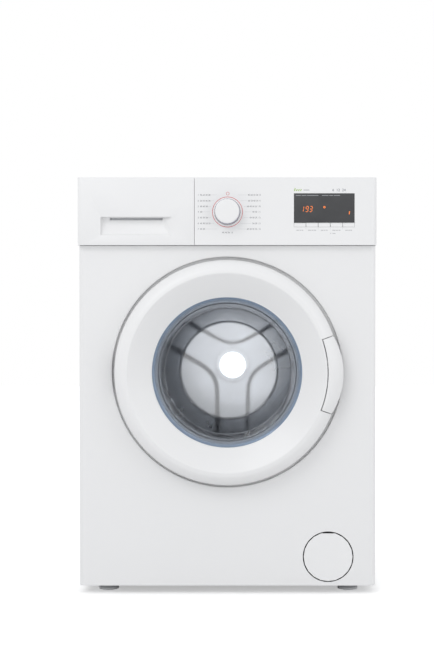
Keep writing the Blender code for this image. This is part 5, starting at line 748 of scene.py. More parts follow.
class WASHER_OT_cabinet(bpy.types.Operator):
    """Presses the front panel with its dish, and refines the wrap, the rear cover and the tray"""

    bl_idname = "washer.cabinet"
    bl_label = "Cabinet"

    def execute(self, context):
        cabinet = context.scene.washer_cabinet
        panel = self.front_panel(cabinet, *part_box("front_panel"))
        dressed(panel, "cabinet", "white_enamel", "front_panel")
        refine(["cabinet_wrap"], "white_enamel", 0.0004)
        refine(["rear_cover"], "zinc_steel", 0.0004)
        refine(["base_tray"], "grey_moulding", 0.0008)
        refine(["inlet_valve"], "white_plastic", 0.0006)
        refine(["cable_gland"], "black_plastic", 0.0005)
        return {"FINISHED"}

    def front_panel(self, cabinet, low, high):
        sheet, lip = cabinet.sheet, cabinet.recess_lip
        half, back, fold = high[0], FRONT_Y + 0.030, 0.016
        line = softened([
            (-half + fold, back, 0), (-half, back, sheet * 1.3), (-half, FRONT_Y, cabinet.corner),
            (half, FRONT_Y, cabinet.corner), (half, back, sheet * 1.3), (half - fold, back, 0),
        ], steps=10)
        panel = drawn("panel_sheet", walled(line, sheet), high[2] - low[2], from_below(low[2]))
        edge = DISH_RADIUS + lip + 0.0010
        through = (FRONT_Y - 0.01, FRONT_Y + 0.01)
        cut(
            panel,
            rod_through("dish_hole", DOOR_CENTRE, edge, through, TURN_STEPS),
            rod_through("hatch_hole", HATCH, HATCH_HOLE, through, SMALL_TURN_STEPS),
        )
        lips = [
            block(
                f"panel_lip_{number}", (-half + 0.010, FRONT_Y + sheet / 4, z),
                (half - 0.010, FRONT_Y + 0.018, z + sheet), 0.0003,
            )
            for number, z in enumerate((low[2] + sheet / 4, high[2] - sheet * 5 / 4))
        ]
        dish_line = softened([
            (PORT_RADIUS, DISH_Y + 0.008, 0), (PORT_RADIUS, DISH_Y, 0.0018), (0.2, DISH_Y, 0),
            (DISH_RADIUS, DISH_Y, 0.0015), (DISH_RADIUS, FRONT_Y, 0),
        ])[:-1]
        dish_line += [*arc(DISH_RADIUS + lip, FRONT_Y + lip, lip, 180, 270, 6), (edge, FRONT_Y)]
        dish = turned("door_dish", walled(dish_line, sheet), closed=True)
        cut(dish, *self.dish_slots())
        return smooth(joined("front_panel_fine", [bevelled(panel, 0.0002, 1), *lips, smooth(dish)]))

    def dish_slots(self):
        """What cuts the slots of the hook and of the hinge arm."""
        start, end = DISH_Y - 0.002, DISH_Y + 0.004
        slots = [block("hook_slot", (0.1935, start, DOOR_Z - 0.0105), (0.2155, end, DOOR_Z + 0.0105))]
        for low in (0.030, -0.038):
            slots.append(block(
                "hinge_slot", (-0.2181, start, DOOR_Z + low - 0.0006), (-0.2079, end, DOOR_Z + low + 0.0086),
            ))
        return slots


def rod_through(name, centre, radius, ends, steps=TINY_TURN_STEPS):
    """A plain rod along y, to cut with."""
    return bar(name, (centre.x, ends[0], centre.z), (centre.x, ends[1], centre.z), radius, steps)


class WASHER_OT_worktop(bpy.types.Operator):
    """Lays the laminated worktop with its edging"""

    bl_idname = "washer.worktop"
    bl_label = "Worktop"

    def execute(self, context):
        low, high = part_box("worktop")
        top = block("worktop_fine", low, high, 0.0028, 5)
        dressed(top, "cabinet", "white_laminate", "worktop")
        return {"FINISHED"}


class WASHER_OT_fascia(bpy.types.Operator):
    """Moulds the control fascia with its mouths, ribs and posts"""

    bl_idname = "washer.fascia"
    bl_label = "Fascia"

    def execute(self, context):
        refine(["control_fascia"], "white_plastic", 0.0005, 3)
        refine(["control_board"], "circuit_green", 0.0003, 1)
        return {"FINISHED"}


class WASHER_OT_drawer(bpy.types.Operator):
    """Moulds the drawer's front with its grip, and refines the tray and its box"""

    bl_idname = "washer.drawer"
    bl_label = "Detergent drawer"

    def execute(self, context):
        low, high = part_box("drawer_front")
        left, right = low[0], high[0]
        outline = softened([
            (left, high[1], 0), (left, FASCIA_Y, 0.010), (right, FASCIA_Y, 0), (right, high[1], 0),
        ], steps=10)
        front = drawn("drawer_front_fine", outline, high[2] - low[2], from_below(low[2]))
        floor = FASCIA_Y + POCKET_DEPTH
        pocket = softened([
            (-0.252, FASCIA_Y - 0.006, 0), (-0.252, floor, 0.0025), (-0.129, floor, 0.025),
            (-0.1015, FASCIA_Y - 0.004, 0), (-0.1015, FASCIA_Y - 0.006, 0),
        ], steps=12)
        scoop = softened([
            (FASCIA_Y - 0.008, 0.7186, 0), (FASCIA_Y + 0.0010, 0.7188, 0.001),
            (FASCIA_Y + 0.0050, 0.7222, 0.005), (floor, 0.7440, 0.030),
            (floor, 0.7560, 0), (FASCIA_Y - 0.008, 0.7560, 0),
        ])
        pocket = drawn("grip_pocket", pocket, 0.037, from_below(0.719))
        scoop = drawn("grip_scoop", scoop, 0.170, lambda u, v, w: (w - 0.260, u, v))
        cut(
            front,
            combined(pocket, "INTERSECT", [scoop]),
            block("grip_undercut", (-0.235, FASCIA_Y + 0.0035, 0.7535), (-0.128, floor - 0.00125, 0.766)),
            block("grip_slot", (-0.2345, floor - 0.001, 0.7503), (-0.1285, high[1] + 0.001, 0.7547)),
        )
        bevelled(front, 0.0006, 3)
        dressed(front, "drawer", "white_plastic", "drawer_front")
        refine(["drawer_tray", "dispenser_box"], "grey_plastic", 0.0004)
        return {"FINISHED"}


class WASHER_OT_knob(bpy.types.Operator):
    """Turns the programme knob, with its pointer, and the ring printed round it"""

    bl_idname = "washer.knob"
    bl_label = "Programme knob"

    def execute(self, context):
        front, back = FASCIA_Y - 0.020, FASCIA_Y - 0.0003
        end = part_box("programme_knob")[1][1]
        corners = [
            (0.0045, end, 0), (0.0045, back, 0), (0.0275, back, 0), (0.0275, back - 0.0030, 0.0010),
            (0.0262, back - 0.0036, 0.0006), (0.0240, front + 0.0016, 0.0012),
            (0.0226, front + 0.0002, 0.0010), (0.0060, front, 0),
        ]
        knob = turned("knob_body", [*softened(corners, 5), (0, front)], KNOB, SMALL_TURN_STEPS)
        edit(knob)
        pick_edges(knob, lambda edge: edge.is_boundary)
        bpy.ops.mesh.edge_face_add()
        turn_out()
        dressed(smooth(knob), "knob", "white_plastic", "programme_knob")
        band = turned("knob_band", [
            (0.0250, back - 0.0042), (0.0264, back - 0.0042), (0.0243, front + 0.0020),
            (0.0230, front + 0.0020),
        ], KNOB, SMALL_TURN_STEPS, closed=True)
        dressed(bevelled(band, 0.0002, 2), "knob", "dark_chrome")
        pointer = block(
            "knob_pointer", (KNOB.x - 0.0007, front - 0.00002, KNOB.z + 0.014),
            (KNOB.x + 0.0007, front + 0.0006, KNOB.z + 0.0205), 0.0003,
        )
        dressed(pointer, "knob", "white_plastic")
        radius = context.scene.washer_panel.ring_radius
        ring = printed_ring("knob_ring", KNOB, radius - 0.0005, radius + 0.0005, FASCIA_Y, SMALL_TURN_STEPS)
        dressed(smooth(ring), "cabinet", "ring_red")
        return {"FINISHED"}


def printed_ring(name, centre, inner, outer, y, steps=TINY_TURN_STEPS):
    """A thin printed ring on a face that looks to the front."""
    back, front = y + PRINT_ROOT, y - PRINT_LIFT
    section = [(inner, back), (inner, front), (outer, front), (outer, back)]
    return turned(name, section, centre, steps, closed=True)


def strip(name, start, end, width, y):
    """A thin printed line on a face that looks to the front, between two (x, z) places."""
    start, end = Vector(start), Vector(end)
    side = (end - start).orthogonal().normalized() * width / 2
    outline = [tuple(point) for point in (start - side, end - side, end + side, start + side)]
    return drawn(name, outline, PRINT_DEPTH, from_front(y - PRINT_LIFT))


def strips(name, ends, width, y, finish):
    """One piece of several printed lines."""
    lines = [strip(f"{name}_{number}", start, end, width, y) for number, (start, end) in enumerate(ends)]
    return dressed(joined(name, lines), "cabinet", finish)


def lettered(words, x, z, height, align="LEFT"):
    """Printed figures on the fascia, z at their middle."""
    stand_free()
    bpy.ops.object.text_add(location=(x, FASCIA_Y - PRINT_LIFT, z - height / 2), rotation=FRONTWARD)
    piece = bpy.context.view_layer.objects.active
    piece.data.body = words
    piece.data.align_x = align
    piece.data.size = height / 0.7
    piece.data.extrude = PRINT_DEPTH / 2
    piece.data.resolution_u = 3
    bpy.ops.object.convert(target="MESH")
    piece = settled("figures")
    edit(piece)
    turn_out()
    return piece


class WASHER_OT_scale(bpy.types.Operator):
    """Prints the plain programme numbers and their lines beside the knob"""

    bl_idname = "washer.scale"
    bl_label = "Programme scale"

    def execute(self, context):
        rows = (0.7995, 0.7880, 0.7768, 0.7659, 0.7545, 0.7430, 0.7318)
        left = (
            "1  90 60 40 20", "2  60 50 40 30", "3  60 40 30", "4  30", "5  40 30 20", "6  40 30 20 15",
            "7  30 20",
        )
        right = (
            "90 60 40 20  8", "60 50 40 30  9", "60 40 30 20  10", "40 30  11", "40 30 20  12", "30 20  13",
            "60 40 30 20  14",
        )
        figures, lines = [], []
        for number, z in enumerate(rows):
            for side, x, align, words in ((-1, -0.0582, "LEFT", left), (1, 0.0668, "RIGHT", right)):
                figures.append(lettered(words[number], x, z, SCALE_HEIGHT, align))
                start = 0.0616 - 0.00165 * len(words[number])
                lines.append(((KNOB.x + side * start, z), (KNOB.x + side * self.leader_end(z), z)))
        figures.append(lettered("40 30 20  15", KNOB.x, 0.7248, SCALE_HEIGHT, "CENTER"))
        dressed(joined("programme_scale", figures), "cabinet", "print_soft")
        strips("programme_lines", lines, 0.0003, FASCIA_Y, "print_line")
        off = printed_ring("off_mark", Vector((KNOB.x + 0.0005, 0, 0.8022)), 0.0026, 0.0033, FASCIA_Y)
        dressed(smooth(off), "cabinet", "ring_red")
        return {"FINISHED"}

    def leader_end(self, z):
        """How far from the knob's middle a label's line ends, near the ring."""
        steepest, least = 0.80, 0.0175
        rise = max(-steepest, min(steepest, (z - KNOB.z) / LEADER_RADIUS))
        return max(LEADER_RADIUS * math.cos(math.asin(rise)), least)


class WASHER_OT_display(bpy.types.Operator):
    """Fits the dark window with its lit digits and signs"""

    bl_idname = "washer.display"
    bl_label = "Display"

    def execute(self, context):
        low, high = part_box("display_window")
        face = low[1]
        window = block("display_window_fine", low, high, 0.0004, 3)
        dressed(window, "cabinet", "smoked_glass", "display_window")
        lit = [
            strip("digit_segment", *self.segment(segment, x), DIGIT_STROKE, face)
            for digit, x in (("1", 0.1470), ("9", 0.1562), ("3", 0.1640))
            for segment in DIGITS[digit]
        ]
        lit.append(printed_ring("clock_sign", Vector((0.1940, 0, 0.7752)), 0.0010, 0.0021, face))
        dressed(joined("display_digits", lit), "cabinet", "lit_orange")
        sign = strip("display_sign", (0.2432, 0.7610), (0.2440, 0.7670), 0.0015, face)
        dressed(sign, "cabinet", "lit_orange")
        rows = (
            (0.137, 0.147), (0.1485, 0.158), (0.1595, 0.182),
            (0.189, 0.202), (0.2035, 0.211), (0.2125, 0.225),
        )
        ends = [((start, 0.7985), (end, 0.7985)) for start, end in rows]
        strips("display_rows", ends, 0.0011, face, "print_pale")
        heads = ((0.1345, 0.8130), (0.1385, 0.8110), (0.1425, 0.8110), (0.1465, 0.8110))
        ends = [((x, 0.8072), (x + 0.0012, top)) for x, top in heads]
        strips("display_head", ends, 0.0018, FASCIA_Y, "print_green")
        grey = strip("display_head_grey", (0.1525, 0.8092), (0.1640, 0.8092), 0.0010, FASCIA_Y)
        numbers = lettered("6  12  24", 0.2095, 0.8094, 0.0052)
        dressed(joined("display_figures", [grey, numbers]), "cabinet", "print_grey")
        return {"FINISHED"}

    def segment(self, segment, x):
        """The ends of one bar of a lit digit, leaning to the right."""
        return [
            (x + u * DIGIT_WIDTH + v * DIGIT_HEIGHT * DIGIT_LEAN, DIGIT_Z + v * DIGIT_HEIGHT)
            for u, v in SEGMENTS[segment]
        ]


class WASHER_OT_keys(bpy.types.Operator):
    """Moulds the five keys and prints plain marks under them"""

    bl_idname = "washer.keys"
    bl_label = "Keys"

    def execute(self, context):
        keys = [f"key_{number}" for number in range(1, 6)]
        refine(keys, "key_plastic", 0.0005, 3)
        prints = []
        for number, key in enumerate(keys, 1):
            low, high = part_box(key)
            middle, half = (low[0] + high[0]) / 2, 0.0080 - 0.0012 * (number % 2)
            for start, end in ((-1.0, -0.25), (-0.1, 0.35), (0.5, 1.0)):
                prints.append(((middle + start * half, 0.7294), (middle + end * half, 0.7294), 0.0012))
            if key != keys[-1]:
                x = high[0] + 0.0006
                prints.append(((x, 0.7350), (x, 0.7310), 0.0003))
        prints += [((0.2055, 0.7232), (0.2075, 0.7232), 0.0010), ((0.2100, 0.7232), (0.2160, 0.7232), 0.0010)]
        marks = [strip("key_mark", start, end, width, FASCIA_Y) for start, end, width in prints]
        dressed(joined("key_marks", marks), "cabinet", "print_faint")
        return {"FINISHED"}


def upright_sides(low, high):
    """The heights of a pair of lugs, above and below the door's middle."""
    return (DOOR_Z + low, DOOR_Z + high), (DOOR_Z - high, DOOR_Z - low)


def pin(name, low, high, radius):
    """A rod on the handle's axis."""
    return bar(name, (PIN_X, PIN_Y, low), (PIN_X, PIN_Y, high), radius)


class WASHER_OT_door(bpy.types.Operator):
    """Moulds the door's ring, presses its glass bowl, and refines its hinge"""

    bl_idname = "washer.door"
    bl_label = "Door"

    def execute(self, context):
        dressed(self.ring(), "door", "door_plastic", "door_frame_outer")
        dressed(self.glass(context.scene.washer_door.glass_wall), "door", "door_glass", "door_glass")
        refine(["door_frame_inner"], "door_plastic", 0.0006)
        refine(["hinge_arm", "hinge_bracket", "door_hook"], "zinc_steel", 0.0003)
        refine(["door_lock"], "grey_moulding", 0.0005)
        return {"FINISHED"}

    def ring(self):
        outer = [
            *softened([
                (0.150, -0.2443, 0), (0.150, -0.2478, 0.0008), (0.152, -0.2487, 0.0010), (0.1955, -0.2778, 0),
            ], 4),
            (0.1962, -0.27815), (0.1970, -0.2784), *flowing(RIM_POINTS),
            (RIM_RADIUS, -0.2375), (RIM_RADIUS - 0.0003, -0.2360), (RIM_RADIUS - 0.0010, -0.2355),
        ]
        inner = [
            (0.2210, -0.2355), (0.2210, -0.2560), (0.2181, -0.2628), (0.2126, -0.2691), (0.2052, -0.2740),
            (0.1980, -0.2759), (0.1960, -0.2753), (0.1525, -0.2460), (0.1525, -0.2443),
        ]
        ring = turned("door_ring_fine", outer + inner, closed=True)
        steps = 48
        angles = [HANDLE_START + (HANDLE_END - HANDLE_START) * step / steps for step in range(steps + 1)]
        sector = [around_door(0.1990, angle) for angle in angles]
        sector += [around_door(RIM_RADIUS + 0.008, angle) for angle in reversed(angles)]
        cut(
            ring,
            drawn("handle_sector", sector, 0.058, from_front(-0.288)),
            block("hinge_notch", (-0.2315, -0.254, DOOR_Z - 0.040), (-0.207, -0.2210, DOOR_Z + 0.040)),
        )
        lugs = [smooth(ring)]
        lug_outline = [(0.1900, -0.2743), (0.1970, -0.2772), (0.1970, -0.2662), (0.1900, -0.2662)]
        for low, high in upright_sides(0.0256, 0.0306):
            lug = drawn("handle_lug", lug_outline, high - low, from_below(low))
            cut(lug, pin("lug_bore", low - 0.001, high + 0.001, 0.0023))
            lugs.append(bevelled(lug, 0.0003, 2))
        return joined("door_frame_outer_fine", lugs)

    def glass(self, wall):
        lip = FRONT_Y - 0.0105
        corners = [
            (0.158, lip, 0), (0.1495, lip, 0.004), (0.1375, lip + 0.0110, 0.006),
            (0.1345, lip + 0.0320, 0.020), (0.1295, lip + 0.0640, 0.010), (0.1095, lip + 0.0900, 0.012),
            (0.1005, lip + 0.1015, 0.006), (0.0, lip + 0.1015, 0),
        ]
        front = softened(corners, 7)
        back = outline_offset(front, -wall)
        back[0], back[-1] = (0.158, lip + wall), (0.0, lip + 0.1015 + wall)
        near = turned("glass_front", front)
        far = turned("glass_back", [(0.158, lip), *back])
        glass = joined("door_glass_fine", [near, far])
        edit(glass)
        turn_out()
        return smooth(glass, math.radians(50))


class WASHER_OT_handle(bpy.types.Operator):
    """Sweeps the bowed handle along its sector of the ring"""

    bl_idname = "washer.handle"
    bl_label = "Door handle"

    def execute(self, context):
        start, end = HANDLE_START + HANDLE_GAP, HANDLE_END - HANDLE_GAP
        outer = flowing([(HANDLE_ROOT, -0.2779), *RIM_POINTS[1:]])
        inner = softened([
            (0.2235, -0.2500, 0), (0.2205, -0.2500, 0.0012), (0.2170, -0.2610, 0.006),
            (0.2100, -0.2690, 0.006), (HANDLE_ROOT, -0.2740, 0),
        ], 4)[1:]

        def at_start(radius, y, _):
            return radius * math.cos(start), y, DOOR_Z + radius * math.sin(start)

        handle = drawn_face("door_handle_fine", outer + inner, at_start)
        bpy.ops.mesh.spin(
            steps=64, angle=end - start, center=DOOR_CENTRE, axis=(0, 1, 0), use_auto_merge=False,
        )
        turn_out()
        self.bow(handle, start, end)
        pieces = [bevelled(handle, 0.0007, 3)]
        ear_outline = [
            (0.1909, -0.2713), (0.1922, -0.2726), (0.2065, -0.2728), (0.2065, -0.2674), (PIN_X, -0.2674),
            (0.1909, -0.2687),
        ]
        for low, high in upright_sides(0.020, 0.025):
            pieces.append(bevelled(drawn("handle_ear", ear_outline, high - low, from_below(low)), 0.0003, 2))
        finger_outline = [(0.2020, -0.2750), (0.2070, -0.2715), (0.1998, -0.2480), (0.1962, -0.2480)]
        finger = drawn("handle_finger", finger_outline, 0.008, from_below(DOOR_Z - 0.004))
        pieces.append(bevelled(finger, 0.0004, 2))
        for low, high in reversed(upright_sides(0.0225, 0.0303)):
            pieces.append(smooth(pin("handle_pin", low, high, 0.0020)))
        dressed(joined("door_handle_fine", pieces), "handle", "door_plastic", "door_handle")
        return {"FINISHED"}

    def bow(self, handle, start, end):
        """Moves the grip's lip out in a bow, most at its middle."""
        def bowed(vert):
            radius = math.hypot(vert.co.x, vert.co.z - DOOR_Z)
            angle = math.atan2(vert.co.z - DOOR_Z, vert.co.x)
            share = 2 * (angle - start) / (end - start) - 1
            lip = 1 + HANDLE_BOW * (1 - share ** 2) / (RIM_RADIUS - HANDLE_ROOT)
            x, z = around_door(HANDLE_ROOT + (radius - HANDLE_ROOT) * lip, angle)
            return x, vert.co.y, z

        edit(handle)
        move_verts(handle, bowed)
        stand_free()


class WASHER_OT_gasket(bpy.types.Operator):
    """Turns the folded rubber sleeve between the port and the tub"""

    bl_idname = "washer.gasket"
    bl_label = "Door gasket"

    def execute(self, context):
        line = softened([
            (0.1583, -0.1800, 0), (0.1583, -0.1890, 0.003), (0.1545, -0.1970, 0.0035),
            (0.1600, -0.2000, 0.0014), (0.1605, -0.2060, 0.003), (0.1545, -0.2180, 0.004),
            (0.1560, -0.2262, 0.0012), (0.1662, -0.2258, 0.0012), (0.1662, -0.2165, 0),
        ], 5)
        gasket = turned("door_gasket_fine", walled(line, -0.0022), closed=True)
        dressed(smooth(gasket, math.radians(45)), None, "grey_rubber", "door_gasket")
        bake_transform(gasket)
        return {"FINISHED"}


class WASHER_OT_drum(bpy.types.Operator):
    """Rolls the perforated drum, presses the star into its end, and refines its lifters and drive"""

    bl_idname = "washer.drum"
    bl_label = "Drum"

    def execute(self, context):
        drum = context.scene.washer_drum
        shell = self.wall(drum)
        self.front(shell)
        self.end(shell, drum.star_depth)
        modified(shell, "SOLIDIFY", thickness=0.001, offset=-1, use_even_offset=True)
        dressed(smooth(shell), "drum", "drum_steel", "drum")
        refine(["lifter_1", "lifter_2", "lifter_3"], "drum_steel", 0.0015, 3)
        refine(["drum_spider"], "cast_aluminium", 0.0008)
        return {"FINISHED"}

    def cell(self, radius, width, pitch):
        """One drain hole in its patch of sheet, laid flat."""
        def stretched(vert):
            if not vert.select:
                return vert.co
            places = [
                size / 2 + (0 if abs(at - size / 2) < radius / 3 else math.copysign(size / 2, at - size / 2))
                for at, size in ((vert.co.x, width), (vert.co.y, pitch))
            ]
            return *places, 0

        cell = added(
            "drain_hole", bpy.ops.mesh.primitive_circle_add, vertices=8, radius=radius,
            location=(width / 2, pitch / 2, 0),
        )
        edit(cell)
        extrude_by((0, 0, 0))
        move_verts(cell, stretched)
        stand_free()
        return cell

    def arrayed(self, piece, step, count):
        return modified(
            piece, "ARRAY", count=count, use_relative_offset=False, use_constant_offset=True,
            constant_offset_displace=step, use_merge_vertices=True, merge_threshold=MERGE,
        )

    def wall(self, drum):
        start, end = DRUM_FRONT_Y + 0.016, DRUM_BACK_Y - 0.010
        rows = drum.rows + drum.rows % 2
        width, pitch = 2 * math.pi * DRUM_RADIUS / drum.around, (end - start) / rows
        row = self.arrayed(self.cell(drum.hole_radius, width, pitch), (width, 0, 0), drum.around)
        shifted = copied(row, "drain_row")
        edit(shifted)
        bpy.ops.transform.translate(value=(width / 2, pitch, 0))
        sheet = self.arrayed(joined("drum_fine", [row, shifted]), (0, 2 * pitch, 0), rows // 2)
        edit(sheet)

        def rolled(vert):
            angle = vert.co.x / DRUM_RADIUS
            return DRUM_RADIUS * math.cos(angle), start + vert.co.y, DOOR_Z + DRUM_RADIUS * math.sin(angle)

        move_verts(sheet, rolled)
        turn_out()
        return sheet

    def rings(self, shell, at, profile):
        """Goes on from one end of the wall, ring after ring."""
        edit(shell)

        def at_end(edge):
            return edge.is_boundary and all(abs(vert.co.y - at) < NEAR for vert in edge.verts)

        pick_edges(shell, at_end)
        ring_on(profile, DRUM_RADIUS, at, DOOR_CENTRE)
        stand_free()

    def front(self, shell):
        line = softened([
            (DRUM_RADIUS, DRUM_FRONT_Y + 0.016, 0), (DRUM_RADIUS, DRUM_FRONT_Y + 0.010, 0.005),
            (0.231, DRUM_FRONT_Y + 0.0045, 0.012), (0.162, DRUM_FRONT_Y, 0.02),
            (0.1535, DRUM_FRONT_Y, 0.0030), (0.152, DRUM_FRONT_Y + 0.007, 0),
        ], 5)
        self.rings(shell, DRUM_FRONT_Y + 0.016, line[1:])

    def end(self, shell, depth):
        line = softened([
            (DRUM_RADIUS, DRUM_BACK_Y - 0.010, 0), (DRUM_RADIUS, DRUM_BACK_Y, 0.006), (0.230, DRUM_BACK_Y, 0),
        ], 5)[1:]
        line += [(radius / 1000, DRUM_BACK_Y) for radius in range(226, 4, -4)]
        self.rings(shell, DRUM_BACK_Y - 0.010, [*line, (0, DRUM_BACK_Y)])
        edit(shell)

        def pressed(vert):
            x, y, z = vert.co
            return x, y - (self.relief(x, z - DOOR_Z, depth) if y > DRUM_BACK_Y - 1e-4 else 0), z

        move_verts(shell, pressed)
        turn_out()

    def relief(self, x, z, depth):
        """How far the pressed hub and star stand forward at a place on the drum's end."""
        radius = math.hypot(x, z)
        hub = HUB_STEP * eased((HUB_RADIUS + 0.004 - radius) / 0.004)
        ring = RING_HEIGHT * (1 - eased(abs(radius - RING_RADIUS) / RING_HALF))
        near = 0
        for angle in ARM_ANGLES:
            along = x * math.cos(angle) + z * math.sin(angle)
            aside = abs(z * math.cos(angle) - x * math.sin(angle))
            near += math.exp(-(aside if along > 0 else radius) / ARM_FILLET)
        reach = -ARM_FILLET * math.log(near)
        star = depth * eased((ARM_HALF - reach) / PRESS_SLOPE) * eased((ARM_REACH - radius) / PRESS_SLOPE)
        return max(star, ring) + hub


def eased(share):
    share = min(1.0, max(0.0, share))
    return share * share * (3 - 2 * share)


class WASHER_OT_hatch(bpy.types.Operator):
    """Moulds the round filter cover with its finger notch, and refines what lies behind it"""

    bl_idname = "washer.hatch"
    bl_label = "Filter hatch"

    def execute(self, context):
        low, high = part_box("filter_cover")
        radius = (high[0] - low[0]) / 2
        floor = block(
            "notch_floor", (HATCH.x - 0.0125, low[1] + 0.0026, HATCH.z + radius - 0.0060),
            (HATCH.x + 0.0125, low[1] + 0.0034, HATCH.z + radius - 0.0022),
        )
        cover = joined("filter_cover_fine", [refined("filter_cover", 0.0004), floor])
        dressed(cover, "hatch", "white_plastic", "filter_cover")
        refine(["drain_pump"], "grey_plastic", 0.0006)
        refine(["pump_filter"], "blue_plastic", 0.0005)
        return {"FINISHED"}


class WASHER_OT_feet(bpy.types.Operator):
    """Refines the four screw feet"""

    bl_idname = "washer.feet"
    bl_label = "Feet"

    def execute(self, context):
        feet = [f"foot_{end}_{side}" for end in ("front", "rear") for side in ("left", "right")]
        refine(feet, "foot_plastic", 0.0008)
        return {"FINISHED"}


class WASHER_OT_works(bpy.types.Operator):
    """Refines the tub, the drive, the weights, the dampers, the springs and the hoses"""

    bl_idname = "washer.works"
    bl_label = "Works"

    # What stretches as the tub travels: from the point that the cabinet holds to the one that the tub holds
    STRETCHED = (
        ("spring_left", "zinc_steel", 0.0, (-0.2614, 0.055, 0.7700), (-0.2614, 0.055, 0.5600)),
        ("spring_right", "zinc_steel", 0.0, (0.2626, 0.055, 0.7700), (0.2626, 0.055, 0.5600)),
        ("dispenser_hose", "black_rubber", 0.0004, (-0.170, -0.085, 0.7020), (-0.170, -0.085, 0.6740)),
        ("sump_hose", "black_rubber", 0.0004, (0.145, -0.170, 0.1000), (0.055, -0.110, 0.1550)),
    )

    def execute(self, context):
        refine(["tub_front", "tub_rear"], "cream_plastic", 0.0008)
        refine(["counterweight_front", "counterweight_top"], "cast_iron", 0.0025, 3)
        refine(["motor", "drum_pulley"], "cast_aluminium", 0.0010)
        refine(["motor_pulley", "bearing_front", "bearing_rear", "heater"], "bright_steel", 0.0003)
        refine(["drive_belt"], "belt_rubber", 0.0004)
        refine(["damper_cylinder_left", "damper_cylinder_right"], "black_plastic", 0.0006)
        refine(["damper_rod_left", "damper_rod_right"], "grey_plastic", 0.0005)
        refine(["fill_hose"], "white_rubber", 0.0004)
        for node, finish, edge, start, end in self.STRETCHED:
            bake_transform(dressed(refined(node, edge), None, finish, node))
        return {"FINISHED"}


class WASHER_OT_studio(bpy.types.Operator):
    """Lays the pale floor and sets the soft lights, the sky and the camera"""

    bl_idname = "washer.studio"
    bl_label = "Studio"

    # Where the camera's frame is shifted to, as in the photo
    SHIFT_X, SHIFT_Y = -0.0772, 0.0175

    def execute(self, context):
        studio = context.scene.washer_studio
        self.floor(studio.floor_glow)
        self.sky(context.scene, studio.sky)
        self.light("key_light", (-1.6, -2.6, 2.7), (0, -0.2, 0.5), 2.0, studio.key_power)
        self.light("fill_light", (2.6, -2.0, 1.5), (0, -0.2, 0.4), 2.0, studio.fill_power)
        self.light("eye_light", (-0.0725, -2.63, 0.340), (0, -0.2, 0.446), 0.14, studio.eye_power)
        self.camera(context.scene, studio)
        context.scene.view_settings.view_transform = "Standard"
        return {"FINISHED"}

    def floor(self, glow):
        floor = added("studio_floor", bpy.ops.mesh.primitive_plane_add, size=14)
        made = Finish("studio_floor")
        made.colour(made.spread(made.noise(1.5, 2.0), 0, 1), (0.80, 0.80, 0.80), (0.815, 0.815, 0.815))
        made.set(Roughness=0.8, Emission_Color=(1, 1, 1, 1))
        path = made.add("ShaderNodeLightPath")
        seen = made.math("MULTIPLY", path.outputs["Is Camera Ray"], glow)
        made.link(seen, made.shader.inputs["Emission Strength"])
        floor.data.materials.append(made.material)

    def sky(self, scene, strength):
        world = bpy.data.worlds.new("studio_sky")
        scene.world = world
        tree = Tree(world)
        soft = tree.nodes["Background"]
        soft.inputs["Color"].default_value = (0.97, 0.98, 1.0, 1)
        soft.inputs["Strength"].default_value = strength
        white = tree.add("ShaderNodeBackground", Color=(1, 1, 1, 1))
        rays = tree.add("ShaderNodeLightPath").outputs
        seen = tree.math("MAXIMUM", rays["Is Camera Ray"], rays["Is Glossy Ray"])
        seen = tree.math("MAXIMUM", seen, rays["Is Transmission Ray"])
        both = tree.add("ShaderNodeMixShader")
        for output, socket in zip((seen, soft.outputs[0], white.outputs[0]), both.inputs):
            tree.link(output, socket)
        tree.link(both.outputs[0], tree.nodes["World Output"].inputs["Surface"])

    def light(self, name, place, aim, size, power):
        stand_free()
        bpy.ops.object.light_add(type="AREA", location=place)
        light = named(name)
        light.data.shape = "DISK"
        light.data.size = size
        light.data.energy = power
        light.visible_camera = False
        light.rotation_euler = (Vector(aim) - Vector(place)).to_track_quat("-Z", "Y").to_euler()

    def camera(self, scene, studio):
        stand_free()
        bpy.ops.object.camera_add(location=studio.eye, rotation=(math.pi / 2 - studio.tilt, 0, 0))
        camera = named("photo_camera")
        camera.data.lens = studio.lens
        camera.data.sensor_width = 36
        camera.data.shift_x = self.SHIFT_X
        camera.data.shift_y = self.SHIFT_Y
        camera.data.clip_start = 0.01
        scene.camera = camera


def mix(maker, name, *values, **more):
    """Makes a finish, to be found under its name."""
    made = Finish(name)
    maker(made, *values, **more)
    FINISHES[name] = made.material


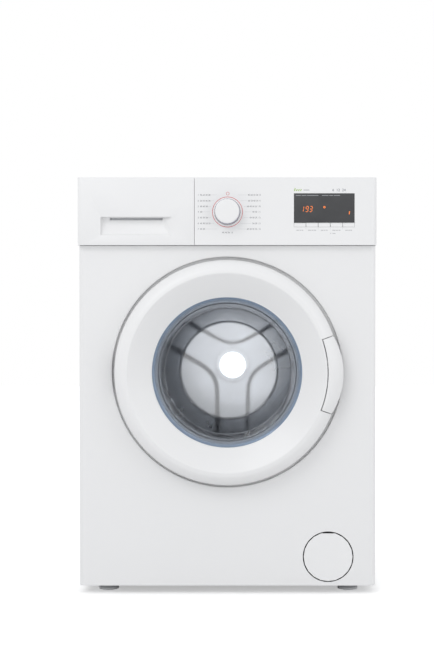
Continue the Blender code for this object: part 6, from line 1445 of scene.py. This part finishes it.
class WASHER_OT_finishes(bpy.types.Operator):
    """Mixes the finishes, some from the colours set"""

    bl_idname = "washer.finishes"
    bl_label = "Finishes"

    def execute(self, context):
        scene = context.scene
        cabinet, door, panel = scene.washer_cabinet, scene.washer_door, scene.washer_panel
        white = tuple(cabinet.enamel)
        mix(moulded, "white_enamel", white, 0.32, 0.006, 3.0, 260.0, 0.00003, Coat_Weight=0.25)
        mix(moulded, "white_laminate", shade_of(white, 0.99), 0.42, 0.012, 40.0, 800.0, 0.00003)
        mix(moulded, "white_plastic", tuple(cabinet.plastic), 0.38, 0.006, 5.0, 700.0, 0.000012)
        mix(moulded, "door_plastic", tuple(door.plastic), 0.34, 0.006, 4.0, 600.0, 0.00001)
        for maker, table in ((moulded, MOULDINGS), (metal, METALS), (cast_metal, CASTINGS), (printed, INKS)):
            for name, values in table.items():
                mix(maker, name, *values)
        mix(spangled_zinc, "zinc_steel")
        mix(smoked_window, "smoked_glass")
        mix(circuit_board, "circuit_green")
        mix(belt_rubber, "belt_rubber")
        mix(drum_steel, "drum_steel", tuple(scene.washer_drum.steel))
        mix(pressed_glass, "door_glass", tuple(door.glass))
        mix(printed, "lit_orange", tuple(panel.segment), glow=0.6)
        mix(printed, "ring_red", tuple(panel.ring_red))
        mix(printed, "print_grey", tuple(panel.print_grey))
        return {"FINISHED"}


OPERATORS = (
    WASHER_OT_finishes, WASHER_OT_cabinet, WASHER_OT_worktop, WASHER_OT_fascia, WASHER_OT_drawer,
    WASHER_OT_knob, WASHER_OT_scale, WASHER_OT_display, WASHER_OT_keys, WASHER_OT_door, WASHER_OT_handle,
    WASHER_OT_gasket, WASHER_OT_drum, WASHER_OT_hatch, WASHER_OT_feet, WASHER_OT_works, WASHER_OT_studio,
)


class WASHER_PT_pieces(bpy.types.Panel):
    """Lists the makers of every piece"""

    bl_idname = "WASHER_PT_pieces"
    bl_label = "Washing machine"
    bl_space_type = "VIEW_3D"
    bl_region_type = "UI"
    bl_category = "Washer"

    def draw(self, context):
        for name, settings in SETTINGS.items():
            box = self.layout.box()
            for field in settings.__annotations__:
                box.prop(getattr(context.scene, name), field)
        for operator in OPERATORS:
            self.layout.operator(operator.bl_idname)


def register():
    for each in (*SETTINGS.values(), *OPERATORS, WASHER_PT_pieces):
        bpy.utils.register_class(each)
    for name, settings in SETTINGS.items():
        setattr(bpy.types.Scene, name, bpy.props.PointerProperty(type=settings))


def unregister():
    for name in SETTINGS:
        delattr(bpy.types.Scene, name)
    for each in reversed((*SETTINGS.values(), *OPERATORS, WASHER_PT_pieces)):
        bpy.utils.unregister_class(each)


def main():
    register()
    for operator in OPERATORS:
        group, name = operator.bl_idname.split(".")
        getattr(getattr(bpy.ops, group), name)()
    stand_free()
    bpy.context.view_layer.update()


if __name__ == "__main__":
    main()
